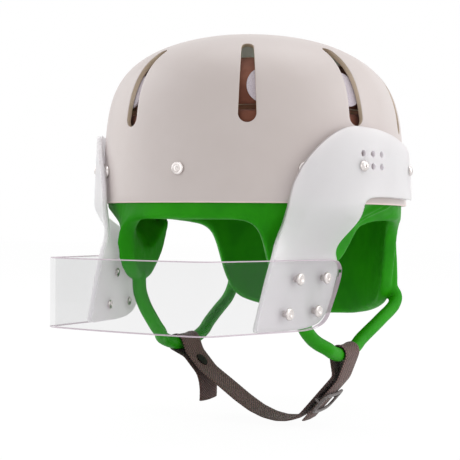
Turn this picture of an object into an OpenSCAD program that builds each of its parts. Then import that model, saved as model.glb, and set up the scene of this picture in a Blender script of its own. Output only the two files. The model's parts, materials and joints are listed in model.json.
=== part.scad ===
// Hard shell helmet with a clear face bar, foam liner, chin loops and chin strap.
// Millimetres. +Z up, face towards -Y, wearer's left towards +X.
// Origin: middle of the width, on the rim plane, level with the widest point of the shell.
// A polar angle runs round the head from the face, 0 at -Y, 90 at +X and 180 at the back.

/* [Hard shell] */
// Half width of the shell above its rim flare
shell_half_w = 97; // [92:0.5:101]
// Distance from the widest point to the forehead
shell_front = 88.7; // [84:0.1:93]
// Distance from the widest point to the back of the head
shell_back = 148; // [141:0.5:154]
// Height of the crown above the rim
shell_h = 112.8; // [107:0.2:119]
// Sheet thickness of the shell
shell_t = 3; // [2.5:0.1:3.6]
// Outward flare of the rim, as a share of the radius
rim_flare = 0.04; // [0.02:0.005:0.06]
// Further flare of the rim at the nape, as a share of the radius
nape_flare = 0.03; // [0:0.005:0.04]

/* [Vent slots] */
// Height of the bottom of each slot above the rim
slot_z0 = 47.8; // [44:0.2:54]
// Height of the top of each slot above the rim
slot_z1 = 98.3; // [92:0.1:100]
// Width of a slot at its round bottom
slot_w0 = 11; // [8:0.5:13]
// Width of a slot at its round top
slot_w1 = 7.4; // [5:0.2:8]
// Tilt of the slots' walls above level
slot_tilt = 24; // [10:2:34]

/* [Foam liner] */
// Foam thickness
foam_t = 9.5; // [8:0.5:10.5]
// Glue gap between one layer and the next
glue_gap = 0.3; // [0.2:0.05:0.4]
// Height of the green band above the rim
band_z1 = 44; // [38:0.5:46]
// Radius of the band's rounded edges
edge_r = 2.6; // [1.5:0.1:3.6]
// Drop of the brow edge below the rim
brow_drop = 10; // [7:0.5:12]
// Drop of the temple pads below the rim
temple_drop = 51; // [44:0.5:55]
// Drop of the arch over each ear below the rim
ear_drop = 10; // [9:0.5:13]
// Drop of the nape pad's front corners below the rim
nape_drop = 65; // [56:1:70]
// Drop of the nape pad's middle below the rim
nape_mid_drop = 85; // [72:1:92]
// Distance from the shell's half width in to the temple pads' faces, level with the widest point
temple_inset = 32.1; // [30:0.1:35]
// Toe-in of the temple pads, sideways over fore-and-aft
temple_toe = 0.27; // [0.24:0.01:0.3]
// Foam thickness of the temple pads
temple_t = 8.5; // [7.5:0.5:9]
// Inward lean of the nape pad, sideways over down
nape_lean = 0.04; // [0.02:0.01:0.08]

/* [Crown padding] */
// Thickness of the brown pads
pad_t = 7.5; // [5:0.5:9]
// Height of the pad ring
ring_pad_h = 12; // [9:0.5:16]
// Gap between neighbouring pads
pad_gap = 0.4; // [0.3:0.1:3]
// Top height of the crown pads
crown_pad_z1 = 92; // [84:0.5:95]
// Thickness of the hook-and-loop dots
dot_t = 1.6; // [1:0.1:2.2]
// Diameter of the hook-and-loop dots
dot_d = 22; // [16:1:24]

/* [Liner rivets] */
// Head diameter of the shell rivets
rivet_head_d = 8; // [7:0.5:11]
// Shank diameter of the shell rivets
rivet_d = 4; // [3:0.2:5]
// Height of the shell rivets above the rim
rivet_z = 20.5; // [16:0.5:24]
// Diameter of the washer behind each shell rivet
washer_d = 10.4; // [9:0.2:12]

/* [Side plates] */
// Sheet thickness of the side plates
plate_t = 3; // [2.5:0.1:3.4]
// Gap between shell and plate
plate_gap = 2.8; // [2.4:0.1:3.6]
// Gap between a plate's lower panel and the temple pad beside it, at the panel's rear edge
panel_gap = 2.9; // [2.2:0.1:4]
// Toe-in of the lower plate panels and the bar limbs, sideways over fore-and-aft
panel_toe = 0.18; // [0.17:0.005:0.19]

/* [Face bar] */
// Sheet thickness of the clear bar
bar_t = 3; // [2.5:0.1:4]
// Distance from the widest point to the front of the bar
bar_front = 156.5; // [150:0.5:162]
// Radius of the bar's front corners, outside
bar_corner_r = 14; // [12:0.5:26]
// Forward bow of the bar between its corners
bar_bow = 3; // [1:0.5:6]
// Drop of the bar's top edge below the rim
bar_top_drop = 33; // [30:0.5:36]
// Height of the bar at its front
bar_h = 39.5; // [36:0.5:42]
// Further height of the bar at its rear ends
bar_rear_drop = 4; // [2:0.5:6]
// Head diameter of the bar rivets
bar_rivet_head_d = 7.4; // [6.4:0.2:8.6]
// Shank diameter of the bar rivets
bar_rivet_d = 4; // [3:0.2:4.6]

/* [Plate screws] */
// Head diameter of the plate screws
screw_head_d = 6.8; // [6:0.2:8]
// Thread diameter of the plate screws
screw_d = 3.6; // [3:0.2:4]
// Height of the plate screws above the rim
screw_z = 22.8; // [20:0.2:25]
// Pitch of the adjustment holes in each plate
hole_pitch = 7.6; // [7:0.1:8.4]
// Outer diameter of the plate spacers
spacer_d = 10; // [8:0.5:11]

/* [Chin loops] */
// Diameter of the foam-covered chin loops
loop_d = 9.5; // [8:0.25:10]
// Distance from the shell's half width in to the loops' centre lines at their lowest points
loop_inset = 34.5; // [33:0.25:36]
// Fore-and-aft place of the lowest point of the loops
loop_low_y = 25; // [23:0.5:27]
// Height of the lowest point of the loops' centre line
loop_low_z = -100; // [-102:0.5:-99]
// Radius of the loops' bottom arc, about the line that the strap swings round
loop_arc_r = 74; // [70:1:78]

/* [Chin strap] */
// Width of the woven strap
strap_w = 25.4; // [20:0.2:26]
// Thickness of the woven strap
strap_t = 1.6; // [1.2:0.1:1.8]
// Running gap between strap and loop
strap_gap = 0.4; // [0.3:0.05:0.6]
// Diameter of the snap cap
snap_d = 13.4; // [11:0.2:15]
// Diameter of the snap stud's ball
snap_ball_d = 4; // [3:0.2:4.6]
// Clear width inside the slider
slider_in_w = 26.6; // [26.4:0.2:29]
// Length of the slider along the strap
slider_len = 17; // [14:0.5:19]
// Thickness of the slider's wires
slider_wire = 2; // [1.8:0.1:2.4]

/* [Hidden] */
$fn = 40;

// Exponents of the egg-shaped plan and of the flat crown
plan_n = 1.9;
crown_m = 5.42;
crown_k = 2.02;
// Columns round the head, and rows from rim to crown
head_cols = 64;
crown_rows = 14;
// Play between a fastener and its hole
fit = 0.1;
// Places round the head of the slots, the shell rivets and the plate screws
slot_angles = [26.7, 70.6, 112, 155];
rivet_angles = [0, 48, 135, 180, 225, 312];
screw_angles = [70, 110];
// Columns and rows of the plates' adjustment holes
hole_cols = 3;
hole_rows = 2;

function mix(a, b, w) = a + (b - a) * w;
function smooth(a) = let (s = min(1, max(0, a))) s * s * (3 - 2 * s);

// Radius of the plan at polar angle t, on a layer that lies inset mm inside the shell's skin
function plan_r(t, inset) =
    let (end = (cos(t) > 0 ? shell_front : shell_back) - inset, half = shell_half_w - inset)
    pow(pow(abs(sin(t)) / half, plan_n) + pow(abs(cos(t)) / end, plan_n), -1 / plan_n);
// Share of the plan's radius left at a share u of the height
function rise(u) = pow(max(0, 1 - pow(u, crown_m)), 1 / crown_k);
function flare(t, u) = 1 + rim_flare * (1 - u) + nape_flare * max(0, -cos(t)) * pow(1 - u, 6);
function skin_r(t, z, inset) =
    let (u = min(1, max(0, z) / (shell_h - inset))) plan_r(t, inset) * rise(u) * flare(t, u);
function skin(t, z, inset) = polar(t, skin_r(t, z, inset), z);
function polar(t, r, z) = [r * sin(t), -r * cos(t), z];
// Direction in plan of the shell's outward normal at polar angle t
function normal_angle(t) =
    let (r = plan_r(t, 0), x = r * sin(t), y = -r * cos(t))
    let (end = y < 0 ? shell_front : shell_back)
    atan2(sign(y) * pow(abs(y) / end, plan_n - 1) / end,
        sign(x) * pow(abs(x) / shell_half_w, plan_n - 1) / shell_half_w);

// Value at x of the line through a list of [x, value] points
function along(line, x, i = 0) =
    i >= len(line) - 2 || x <= line[i + 1][0]
    ? mix(line[i][1], line[i + 1][1],
        min(1, max(0, (x - line[i][0]) / (line[i + 1][0] - line[i][0]))))
    : along(line, x, i + 1);

// Rise of the outward normal above level
function normal_rise(t, z) = atan((skin_r(t, z - 1, 0) - skin_r(t, z + 1, 0)) / 2);

// Children stand on the shell's skin at polar angle t and height z, their +Z pointing outwards
module on_skin(t, z) {
    translate(skin(t, z, 0))
        rotate([0, 0, normal_angle(t)])
            rotate([0, 90 - normal_rise(t, z), 0])
                children();
}

// Closed solid from section loops that follow one another right round
module ring_solid(sections) {
    n = len(sections);
    m = len(sections[0]);
    polyhedron(
        points = [for (s = sections) each s],
        faces = [for (i = [0:n - 1], j = [0:m - 1])
            let (a = i * m + j, b = i * m + (j + 1) % m)
            let (c = (i + 1) % n * m + (j + 1) % m, d = (i + 1) % n * m + j)
            each [[a, b, c], [a, c, d]]]);
}

// Closed tube from round section loops, with flat ends
module tube_solid(rings) {
    n = len(rings);
    m = len(rings[0]);
    polyhedron(
        points = [for (s = rings) each s],
        faces = concat(
            [for (i = [0:n - 2], j = [0:m - 1])
                let (a = i * m + j, b = i * m + (j + 1) % m)
                let (c = (i + 1) * m + (j + 1) % m, d = (i + 1) * m + j)
                each [[a, b, c], [a, c, d]]],
            [for (j = [1:m - 2]) [0, j + 1, j]],
            [for (j = [1:m - 2]) [(n - 1) * m, (n - 1) * m + j, (n - 1) * m + j + 1]]));
}

// Closed slab between two grids of points that match row by row
module slab(outer, inner) {
    rows = len(outer);
    cols = len(outer[0]);
    base = rows * cols;
    polyhedron(
        points = concat([for (r = outer) each r], [for (r = inner) each r]),
        faces = concat(
            [for (i = [0:rows - 2], j = [0:cols - 2])
                let (a = i * cols + j, b = a + 1, c = a + cols + 1, d = a + cols)
                each [[a, c, b], [a, d, c], [base + a, base + b, base + c],
                    [base + a, base + c, base + d]]],
            [for (j = [0:cols - 2])
                let (a = j, b = j + 1, c = (rows - 1) * cols + j, d = c + 1)
                each [[a, b, base + b], [a, base + b, base + a],
                    [c, base + d, d], [c, base + c, base + d]]],
            [for (i = [0:rows - 2])
                let (a = i * cols, b = a + cols, c = a + cols - 1, d = c + cols)
                each [[a, base + b, b], [a, base + a, base + b],
                    [c, d, base + d], [c, base + d, base + c]]]));
}

// Height of row i of the dome, closer together near the crown
function dome_z(i, inset) = (shell_h - inset) * (1 - pow(1 - i / crown_rows, 2.2));
function dome_points(inset) = concat(
    [for (i = [0:crown_rows - 1], j = [0:head_cols - 1])
        skin(360 * j / head_cols, dome_z(i, inset), inset)],
    [[0, 0, shell_h - inset]]);

// Bowl between the skin and the layer shell_t inside it
module dome() {
    count = crown_rows * head_cols + 1;
    top = (crown_rows - 1) * head_cols;
    function at(i, j) = i * head_cols + j % head_cols;
    polyhedron(
        points = concat(dome_points(0), dome_points(shell_t)),
        faces = concat(
            [for (i = [0:crown_rows - 2], j = [0:head_cols - 1])
                let (a = at(i, j), b = at(i, j + 1), c = at(i + 1, j + 1), d = at(i + 1, j))
                each [[a, c, b], [a, d, c], [count + a, count + b, count + c],
                    [count + a, count + c, count + d]]],
            [for (j = [0:head_cols - 1])
                let (a = top + j, b = top + (j + 1) % head_cols)
                each [[a, count - 1, b], [count + a, count + b, 2 * count - 1]]],
            [for (j = [0:head_cols - 1])
                let (a = at(0, j), b = at(0, j + 1))
                each [[a, b, count + b], [a, count + b, count + a]]]));
}

// Cutter for one vent slot: a tapered slot with round ends
module slot_cutter(t) {
    low = slot_z0 * cos(slot_tilt) - skin_r(t, slot_z0, 0) * sin(slot_tilt) + slot_w0 / 2;
    high = slot_z1 * cos(slot_tilt) - skin_r(t, slot_z1, 0) * sin(slot_tilt) - slot_w1 / 2;
    lean = asin((slot_w0 - slot_w1) / 2 / (high - low));
    function tangent(side, v, w) = [side * w / 2 * cos(lean), v + w / 2 * sin(lean)];
    rotate([0, 0, t - 90])
        rotate([0, -slot_tilt, 0])
            rotate([90, 0, 90])
                translate([0, 0, shell_half_w / 2])
                    linear_extrude(height = shell_back) {
                        translate([0, low]) circle(d = slot_w0);
                        translate([0, high]) circle(d = slot_w1);
                        polygon([tangent(1, low, slot_w0), tangent(1, high, slot_w1),
                            tangent(-1, high, slot_w1), tangent(-1, low, slot_w0)]);
                    }
}

// Depths below the skin of what sits behind a rivet or a tee nut
washer_top = shell_t + 0.9;
washer_t = 0.9;
clinch_t = 0.8;
pocket_depth = washer_top + washer_t + clinch_t + 0.8;
nut_barrel_d = screw_d + 1.8;
nut_flange_d = washer_d + 1.6;

module hard_shell() {
    color("#D3C9C6")
        difference() {
            dome();
            for (t = slot_angles, side = [-1, 1])
                slot_cutter(side * t);
            for (t = rivet_angles)
                on_skin(t, rivet_z)
                    translate([0, 0, -3 * shell_t])
                        cylinder(d = rivet_d + 2 * fit, h = 6 * shell_t);
            for (t = screw_angles, side = [-1, 1])
                on_skin(side * t, screw_z)
                    translate([0, 0, -3 * shell_t])
                        cylinder(d = nut_barrel_d + 2 * fit, h = 6 * shell_t);
        }
}

// Depths of the green band's two faces below the skin
band_out = shell_t + glue_gap;
band_in = band_out + foam_t;
// Lower edge of the liner from face to nape: polar angle and height
liner_edge = [[0, -brow_drop], [22, -brow_drop], [27, -brow_drop - 1], [30, -brow_drop - 3.5],
    [32, -brow_drop - 8], [33.5, -temple_drop / 2], [35, -temple_drop + 16],
    [38, -temple_drop + 8], [43, -temple_drop + 2.5], [49, -temple_drop], [57, -temple_drop],
    [65, -temple_drop + 2], [72, -temple_drop + 6], [80, -temple_drop + 11],
    [87, -temple_drop + 16.5], [92, -temple_drop + 23], [96, -temple_drop + 30],
    [100, -ear_drop - 5], [105, -ear_drop - 1], [111, -ear_drop], [119, -ear_drop - 0.5],
    [128, -ear_drop - 2], [135, -ear_drop - 4], [139.3, -ear_drop - 8.5],
    [141.4, -ear_drop - 16], [142.8, -nape_drop + 30], [144.6, -nape_drop + 16],
    [146.4, -nape_drop + 7], [148.3, -nape_drop - 1],
    [151.5, -nape_drop - 7], [156, -nape_mid_drop + 9], [162, -nape_mid_drop + 5],
    [170, -nape_mid_drop + 1.5], [180, -nape_mid_drop]];
// Columns of the liner, at every corner of its edge and between them
liner_half = concat([for (p = liner_edge) p[0]], [8, 15, 53, 61, 76, 124, 132, 175]);
function sorted(v) = len(v) < 2 ? v
    : let (p = v[0])
        concat(sorted([for (a = v) if (a < p) a]), [p], sorted([for (a = v) if (a > p) a]));
liner_ts = let (half = sorted(liner_half))
    concat(half, [for (i = [len(half) - 2:-1:1]) 360 - half[i]]);
function head_side(t) = t > 180 ? 360 - t : t;

// Half distance between the temple pads' faces, and their thickness measured sideways
temple_half_gap = shell_half_w - temple_inset;
temple_side_t = temple_t * sqrt(1 + pow(temple_toe, 2));

// Radius of a face of the liner below the rim: the oval of the band, leaning in, blends into
// the flat temple pads between the brow and the ears, sooner at the ears than at the brow
function low_r(t, z, inset, pad_x) =
    let (s = head_side(t), oval = skin_r(s, 0, inset) + nape_lean * z)
    let (rear = smooth((s - 60) / 30))
    let (fall = smooth((-z - mix(6, 0, rear)) / mix(20, 11, rear)))
    let (w = fall * smooth((116 - s) / 18) * smooth((s - 20) / 10))
    w == 0 ? oval : mix(oval, pad_x / (sin(s) + temple_toe * cos(s)), w);
function liner_r(t, z, side) =
    z >= 0 ? skin_r(t, z, side == 0 ? band_out : band_in)
    : side == 0 ? low_r(t, z, band_out, temple_half_gap + temple_side_t)
    : low_r(t, z, band_in, temple_half_gap);
// Rows of the liner, as shares of the drop below the rim and of the rise above it
drop_shares = [0.86, 0.66, 0.46, 0.28, 0.12];
rise_shares = [0, 0.35, 0.7, 0.95];
// Point across the thickness of the liner: share 0 on the outer face and 1 on the inner face
function across(t, z, share) = polar(t, mix(liner_r(t, z, 0), liner_r(t, z, 1), share), z);
function liner_section(t) =
    let (low = along(liner_edge, head_side(t)) + edge_r, n = len(drop_shares))
    concat(
        [across(t, low - edge_r, 0.5), across(t, low - 0.75 * edge_r, 0.16), across(t, low, 0)],
        [for (s = drop_shares) across(t, low * s, 0)],
        [for (s = rise_shares) across(t, band_z1 * s, 0)],
        [across(t, band_z1, 0.16), across(t, band_z1, 0.84)],
        [for (i = [len(rise_shares) - 1:-1:0]) across(t, band_z1 * rise_shares[i], 1)],
        [for (i = [n - 1:-1:0]) across(t, low * drop_shares[i], 1)],
        [across(t, low, 1), across(t, low - 0.75 * edge_r, 0.84)]);

module foam_liner() {
    color("#3C9A2C")
        difference() {
            ring_solid([for (t = liner_ts) liner_section(t)]);
            for (t = rivet_angles)
                on_skin(t, rivet_z)
                    translate([0, 0, -pocket_depth])
                        cylinder(d = washer_d + 1, h = pocket_depth);
            for (t = screw_angles, side = [-1, 1])
                on_skin(side * t, screw_z)
                    translate([0, 0, -pocket_depth])
                        cylinder(d = nut_flange_d + 1, h = pocket_depth);
        }
}

// Depth below the skin of the brown pads' outer faces
dot_gap = 0.4;
pad_out = shell_t + 2 * glue_gap + dot_t + dot_gap;
ring_pad_z0 = band_z1 + pad_gap;
crown_pad_z0 = ring_pad_z0 + ring_pad_h + pad_gap;
ring_cols = 48;

// Brown pad that runs right round above the green band
module ring_pad() {
    color("#7A4E3C")
        ring_solid([for (j = [0:ring_cols - 1])
            let (t = 360 * j / ring_cols, z0 = ring_pad_z0, z1 = ring_pad_z0 + ring_pad_h)
            let (soft = pad_t * 0.25)
            [skin(t, z0, pad_out + soft), skin(t, z0 + soft, pad_out), skin(t, z1 - soft, pad_out),
                skin(t, z1, pad_out + soft), skin(t, z1, pad_out + pad_t - soft),
                skin(t, z1 - soft, pad_out + pad_t), skin(t, z0 + soft, pad_out + pad_t),
                skin(t, z0, pad_out + pad_t - soft)]]);
}

// Crown pads: first and last polar angle of each
pad_spans = [[-48, 48], [134, 226], [51, 131], [229, 309]];
pad_cols = 12;
pad_rows = 6;
// Pad over one span, fuller in its middle than along its edges
module crown_pad(span) {
    function at(i, j, depth) =
        let (a = i / pad_rows, b = j / pad_cols)
        let (full = min(1, 5 * min(a, 1 - a, 1.6 * b, 1.6 * (1 - b)) + 0.35))
        skin(mix(span[0], span[1], b), mix(crown_pad_z0, crown_pad_z1, a),
            pad_out + pad_t * (0.5 + (depth - 0.5) * full));
    color("#83503F")
        slab([for (i = [0:pad_rows]) [for (j = [0:pad_cols]) at(i, j, 0)]],
            [for (i = [0:pad_rows]) [for (j = [0:pad_cols]) at(i, j, 1)]]);
}
module front_crown_pad() { crown_pad(pad_spans[0]); }
module back_crown_pad() { crown_pad(pad_spans[1]); }
module left_crown_pad() { crown_pad(pad_spans[2]); }
module right_crown_pad() { crown_pad(pad_spans[3]); }

// Hook-and-loop dots between the shell and the crown pads: polar angle of each
dot_angles = [-33.5, 33.5, 70, 112, 150, 210, 248, 290];
dot_z = crown_pad_z0 + dot_d / 2 + 3;
dot_sides = 20;
module hook_dot(t) {
    r = skin_r(t, dot_z, 0);
    step = dot_d / 2 / r * 180 / PI;
    function rim_point(k, inset) =
        let (a = 360 * k / dot_sides)
        skin(t + step * cos(a), dot_z + dot_d / 2 * sin(a), inset);
    top = shell_t + glue_gap;
    bottom = top + dot_t;
    polyhedron(
        points = concat([skin(t, dot_z, top), skin(t, dot_z, bottom)],
            [for (k = [0:dot_sides - 1]) rim_point(k, top)],
            [for (k = [0:dot_sides - 1]) rim_point(k, bottom)]),
        faces = [for (k = [0:dot_sides - 1])
            let (a = 2 + k, b = 2 + (k + 1) % dot_sides, c = a + dot_sides, d = b + dot_sides)
            each [[0, b, a], [1, c, d], [a, b, d], [a, d, c]]]);
}
module hook_dots() {
    color("#B9AEB4")
        for (t = dot_angles)
            hook_dot(t);
}

// Flat-headed rivet with a ringed, dimpled head, standing on z = 0 with its shank down
module ringed_rivet(head_d, head_h, shank_d, depth) {
    difference() {
        union() {
            cylinder(d = head_d, h = head_h * 0.6);
            translate([0, 0, head_h * 0.6 - 0.01])
                cylinder(d1 = head_d, d2 = head_d * 0.8, h = head_h * 0.4);
        }
        translate([0, 0, head_h - 0.5])
            difference() {
                cylinder(d = head_d * 0.62, h = 1);
                translate([0, 0, -1]) cylinder(d = head_d * 0.5, h = 3);
            }
        translate([0, 0, head_h - 0.8])
            cylinder(d = head_d * 0.22, h = 2);
    }
    translate([0, 0, -depth])
        cylinder(d = shank_d, h = depth + 0.2);
}

rivet_head_h = 1.7;
// Lift that keeps a flat head off the curved skin
seat = 0.1;
module liner_rivets() {
    color("#D9D6D6")
        for (t = rivet_angles)
            on_skin(t, rivet_z)
                translate([0, 0, seat]) {
                    ringed_rivet(rivet_head_d, rivet_head_h, rivet_d,
                        washer_top + washer_t + seat + 0.2);
                    translate([0, 0, -washer_top - washer_t - clinch_t - seat - 0.1])
                        cylinder(d = rivet_d + 2.4, h = clinch_t);
                }
}
module liner_rivet_washers() {
    color("#A9A9AC")
        for (t = rivet_angles)
            on_skin(t, rivet_z)
                translate([0, 0, -washer_top - washer_t])
                    difference() {
                        cylinder(d = washer_d, h = washer_t);
                        translate([0, 0, -1])
                            cylinder(d = rivet_d + 2 * fit, h = washer_t + 2);
                    }
}

// Sideways place of a layer that lies out mm outside the shell's skin, at a given y and z
function side_x(y, z, out) =
    let (end = (y < 0 ? shell_front : shell_back) + out, u = z / (shell_h + out))
    let (s = rise(u) * (1 + rim_flare * (1 - u)))
    (shell_half_w + out) * s
        * pow(max(0, 1 - pow(abs(y) / (end * s), plan_n)), 1 / plan_n);
toe_stretch = sqrt(1 + pow(panel_toe, 2));
plate_out = plate_gap + plate_t;
// Drop from the rim to where the plates become flat, just above the bar
panel_z = bar_top_drop - 1;
// Half distance between the plates' outer faces, level with the widest point
panel_rear_y = -33;
panel_half_w = temple_half_gap + temple_side_t + panel_gap
    + (temple_toe - panel_toe) * panel_rear_y + plate_t * toe_stretch;
function panel_x(y, out) = panel_half_w + (out - plate_out) * toe_stretch + panel_toe * y;
function plate_x(y, z, out) =
    mix(side_x(y, max(z, 0), out), panel_x(y, out), smooth(-z / panel_z));

// Side view of a plate: fore-and-aft place and height of the points of its outline
plate_foot = -bar_top_drop - bar_h - 2.5;
plate_side = [[-40, 46.6], [-45, 45.8], [-50, 43.8], [-55, 40.3], [-60, 35.6], [-65, 29],
    [-69.5, 20.8], [-73, 10.5], [-74.8, 0], [-75.6, -6], [-76.4, -13], [-78.6, -20],
    [-82, -27], [-90.3, -45], [-102, plate_foot + 1],
    [-60, plate_foot], [-48, plate_foot + 0.6], [-38, plate_foot + 2.8], [-31.5, plate_foot + 7],
    [-27.5, plate_foot + 12], [-24.5, -57], [-19.5, -47], [-17.6, -42], [-17.6, -37.5],
    [-20, -31], [-26, -21], [-33, -10.5], [-36.5, -4], [-37, 0], [-34.5, 3.2], [-29, 4.6],
    [-20, 5], [20, 4.6], [42, 4.2], [47, 5], [48.8, 8], [48.2, 14], [46, 22], [42, 30],
    [36, 35], [28, 37.5], [12, 40], [-6, 43], [-24, 45.6]];
plate_rows = [-84, -66, -52, -40, -35, -30, -25, -20, -15, -10, -5, 0, 6, 13, 20, 27, 34, 41, 50];
plate_cols = 24;
function plate_grid(out) =
    [for (z = plate_rows)
        let (y0 = -84 + 0.72 * min(0, max(-panel_z, z)) - (z < -panel_z ? 2 : 0), y1 = 54)
        [for (j = [0:plate_cols])
            let (y = mix(y0, y1, j / plate_cols))
            [plate_x(y, z, out), y, z]]];

// Columns of the adjustment holes, counted back from the front screw
function hole_angle(i) = screw_angles[0] + i * hole_pitch / plan_r(screw_angles[0], 0) * 180 / PI;
module plate_holes() {
    for (i = [0:hole_cols - 1], k = [0:hole_rows - 1])
        on_skin(hole_angle(i), screw_z + k * hole_pitch)
            cylinder(d = screw_d + 4 * fit, h = 4 * plate_out);
    on_skin(screw_angles[1], screw_z)
        cylinder(d = screw_d + 4 * fit, h = 4 * plate_out);
    on_bar_rivets()
        translate([0, 0, -4 * plate_out])
            cylinder(d = bar_rivet_d + 2 * fit, h = 8 * plate_out);
}

module side_plate() {
    color("#E4E4E8", 0.85)
        difference() {
            intersection() {
                slab(plate_grid(plate_out), plate_grid(plate_gap));
                rotate([90, 0, 90])
                    linear_extrude(height = 2 * shell_half_w)
                        polygon(plate_side);
            }
            plate_holes();
        }
}
module left_side_plate() { side_plate(); }
module right_side_plate() { mirror([1, 0, 0]) side_plate(); }

// Clear bar: a strip bent round the face, with straight limbs that toe in like the plates
lap = 0.2;
toe_angle = atan(panel_toe);
bar_out_x = panel_half_w + (lap + bar_t) * toe_stretch;
bar_arc_steps = 14;
bar_bow_steps = 8;
bar_rear_y = -15;
// Centre of the front corner's arc
corner_y = -bar_front + bar_bow + bar_corner_r;
corner_x = bar_out_x + panel_toe * corner_y - bar_corner_r * toe_stretch;
function bar_line(depth) =
    let (r = bar_corner_r - depth, limb = bar_out_x - depth * toe_stretch)
    let (arc = [for (k = [0:bar_arc_steps])
        let (a = mix(-toe_angle, -90, k / bar_arc_steps))
        [corner_x + r * cos(a), corner_y + r * sin(a)]])
    let (front = [for (k = [1:bar_bow_steps])
        let (x = corner_x * (1 - k / bar_bow_steps))
        [x, corner_y - r - bar_bow * (1 - pow(x / corner_x, 2))]])
    concat([[limb + panel_toe * bar_rear_y, bar_rear_y]], arc, front);
function flipped(line) = [for (i = [len(line) - 2:-1:0]) [-line[i][0], line[i][1]]];
// Side view of the bar: its rear end is round, and it is a little deeper behind than in front
bar_top = -bar_top_drop;
bar_low = bar_top - bar_h;
bar_end = [[-22, bar_top - 2], [-18.6, bar_top - 4.5], [-17.2, bar_top - 8], [-18.2, bar_top - 13],
    [-23, bar_top - 22], [-28, bar_top - 30], [-32, bar_low + 2.5], [-37.5, bar_low - 1.2],
    [-46, bar_low - bar_rear_drop + 0.6], [-56, bar_low - bar_rear_drop]];
bar_side = concat([[-bar_front - 5, bar_top + 1], [-30, bar_top - 1.3]], bar_end,
    [[-68, bar_low - bar_rear_drop + 0.3], [-bar_front - 5, bar_low + 0.6]]);

// Bar rivets: fore-and-aft place and height of each
rivet_rows = [[-65, -45], [-36, -45.4], [-76, -65], [-45.5, -65.2]];
module on_bar_rivets() {
    for (p = rivet_rows)
        translate([bar_out_x + panel_toe * p[0], p[0], p[1]])
            rotate([0, 0, -toe_angle])
                rotate([0, 90, 0])
                    children();
}
module both_sides() {
    children();
    mirror([1, 0, 0]) children();
}

module face_bar() {
    outer = bar_line(0);
    inner = bar_line(bar_t);
    color("#EDEEF2", 0.35)
        difference() {
            intersection() {
                translate([0, 0, -120])
                    linear_extrude(height = 120)
                        polygon(concat(outer, flipped(outer),
                            [for (p = inner) [-p[0], p[1]]], [for (p = flipped(inner)) [-p[0], p[1]]]));
                translate([-100, 0, 0])
                    rotate([90, 0, 90])
                        linear_extrude(height = 200)
                            polygon(bar_side);
            }
            both_sides()
                on_bar_rivets()
                    translate([0, 0, -3 * bar_t])
                        cylinder(d = bar_rivet_d + 2 * fit, h = 6 * bar_t);
        }
}

bar_rivet_head_h = 1.8;
bar_stack = bar_t + lap + plate_t;
// Semi-tubular rivet through bar and plate, its hollow end rolled over inside
module bar_rivet() {
    translate([0, 0, 0.05])
        difference() {
            union() {
                ringed_rivet(bar_rivet_head_d, bar_rivet_head_h, bar_rivet_d, bar_stack + 1);
                translate([0, 0, -bar_stack - 1.1])
                    cylinder(d1 = bar_rivet_d + 0.8, d2 = bar_rivet_d + 1.8, h = 0.9);
            }
            translate([0, 0, -bar_stack - 2])
                cylinder(d = bar_rivet_d - 1.4, h = 4.5);
        }
}
module left_bar_rivets() {
    color("#F0EEEC") on_bar_rivets() bar_rivet();
}
module right_bar_rivets() { mirror([1, 0, 0]) left_bar_rivets(); }

screw_head_h = 2;
// Lift of the screw heads' seat over the plates' curved faces
screw_seat = plate_out + 0.2;
module plate_screw() {
    difference() {
        union() {
            translate([0, 0, screw_seat])
                cylinder(d = screw_head_d, h = screw_head_h * 0.55);
            translate([0, 0, screw_seat + screw_head_h * 0.55 - 0.01])
                cylinder(d1 = screw_head_d, d2 = screw_head_d * 0.66, h = screw_head_h * 0.45);
            translate([0, 0, -washer_top - washer_t - 0.6])
                cylinder(d = screw_d, h = screw_seat + washer_top + washer_t + 0.7);
        }
        for (a = [0, 90])
            rotate([0, 0, a + 20])
                translate([-screw_head_d * 0.27, -0.5, screw_seat + screw_head_h - 1.2])
                    cube([screw_head_d * 0.54, 1, 2]);
    }
}
module left_plate_screws() {
    color("#E4E6EA")
        for (t = screw_angles)
            on_skin(t, screw_z) plate_screw();
}
module right_plate_screws() { mirror([1, 0, 0]) left_plate_screws(); }

// Play of the spacers under the plates' curved faces
spacer_play = 0.4;
module left_plate_spacers() {
    color("#9B7F74")
        for (t = screw_angles)
            on_skin(t, screw_z)
                translate([0, 0, seat])
                    difference() {
                        cylinder(d = spacer_d, h = plate_gap - seat - spacer_play);
                        translate([0, 0, -1])
                            cylinder(d = screw_d + 4 * fit, h = plate_gap + 2);
                    }
}
module right_plate_spacers() { mirror([1, 0, 0]) left_plate_spacers(); }

// Tee nut: a threaded barrel in the shell's hole and a flange behind it
module left_tee_nuts() {
    color("#B4B6BA")
        for (t = screw_angles)
            on_skin(t, screw_z)
                difference() {
                    union() {
                        translate([0, 0, -washer_top - washer_t])
                            cylinder(d = nut_flange_d, h = washer_t);
                        translate([0, 0, -washer_top - washer_t])
                            cylinder(d = nut_barrel_d, h = washer_top + washer_t - 0.4);
                    }
                    translate([0, 0, -washer_top - washer_t - 1])
                        cylinder(d = screw_d + 2 * fit, h = washer_top + washer_t + 2);
                }
}
module right_tee_nuts() { mirror([1, 0, 0]) left_tee_nuts(); }

// Chin loops: the line that the strap swings round, and the route of the left loop
swing_z = loop_low_z + loop_arc_r;
loop_half_w = shell_half_w - loop_inset;
loop_sides = 10;
arc_half = 24;
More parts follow.
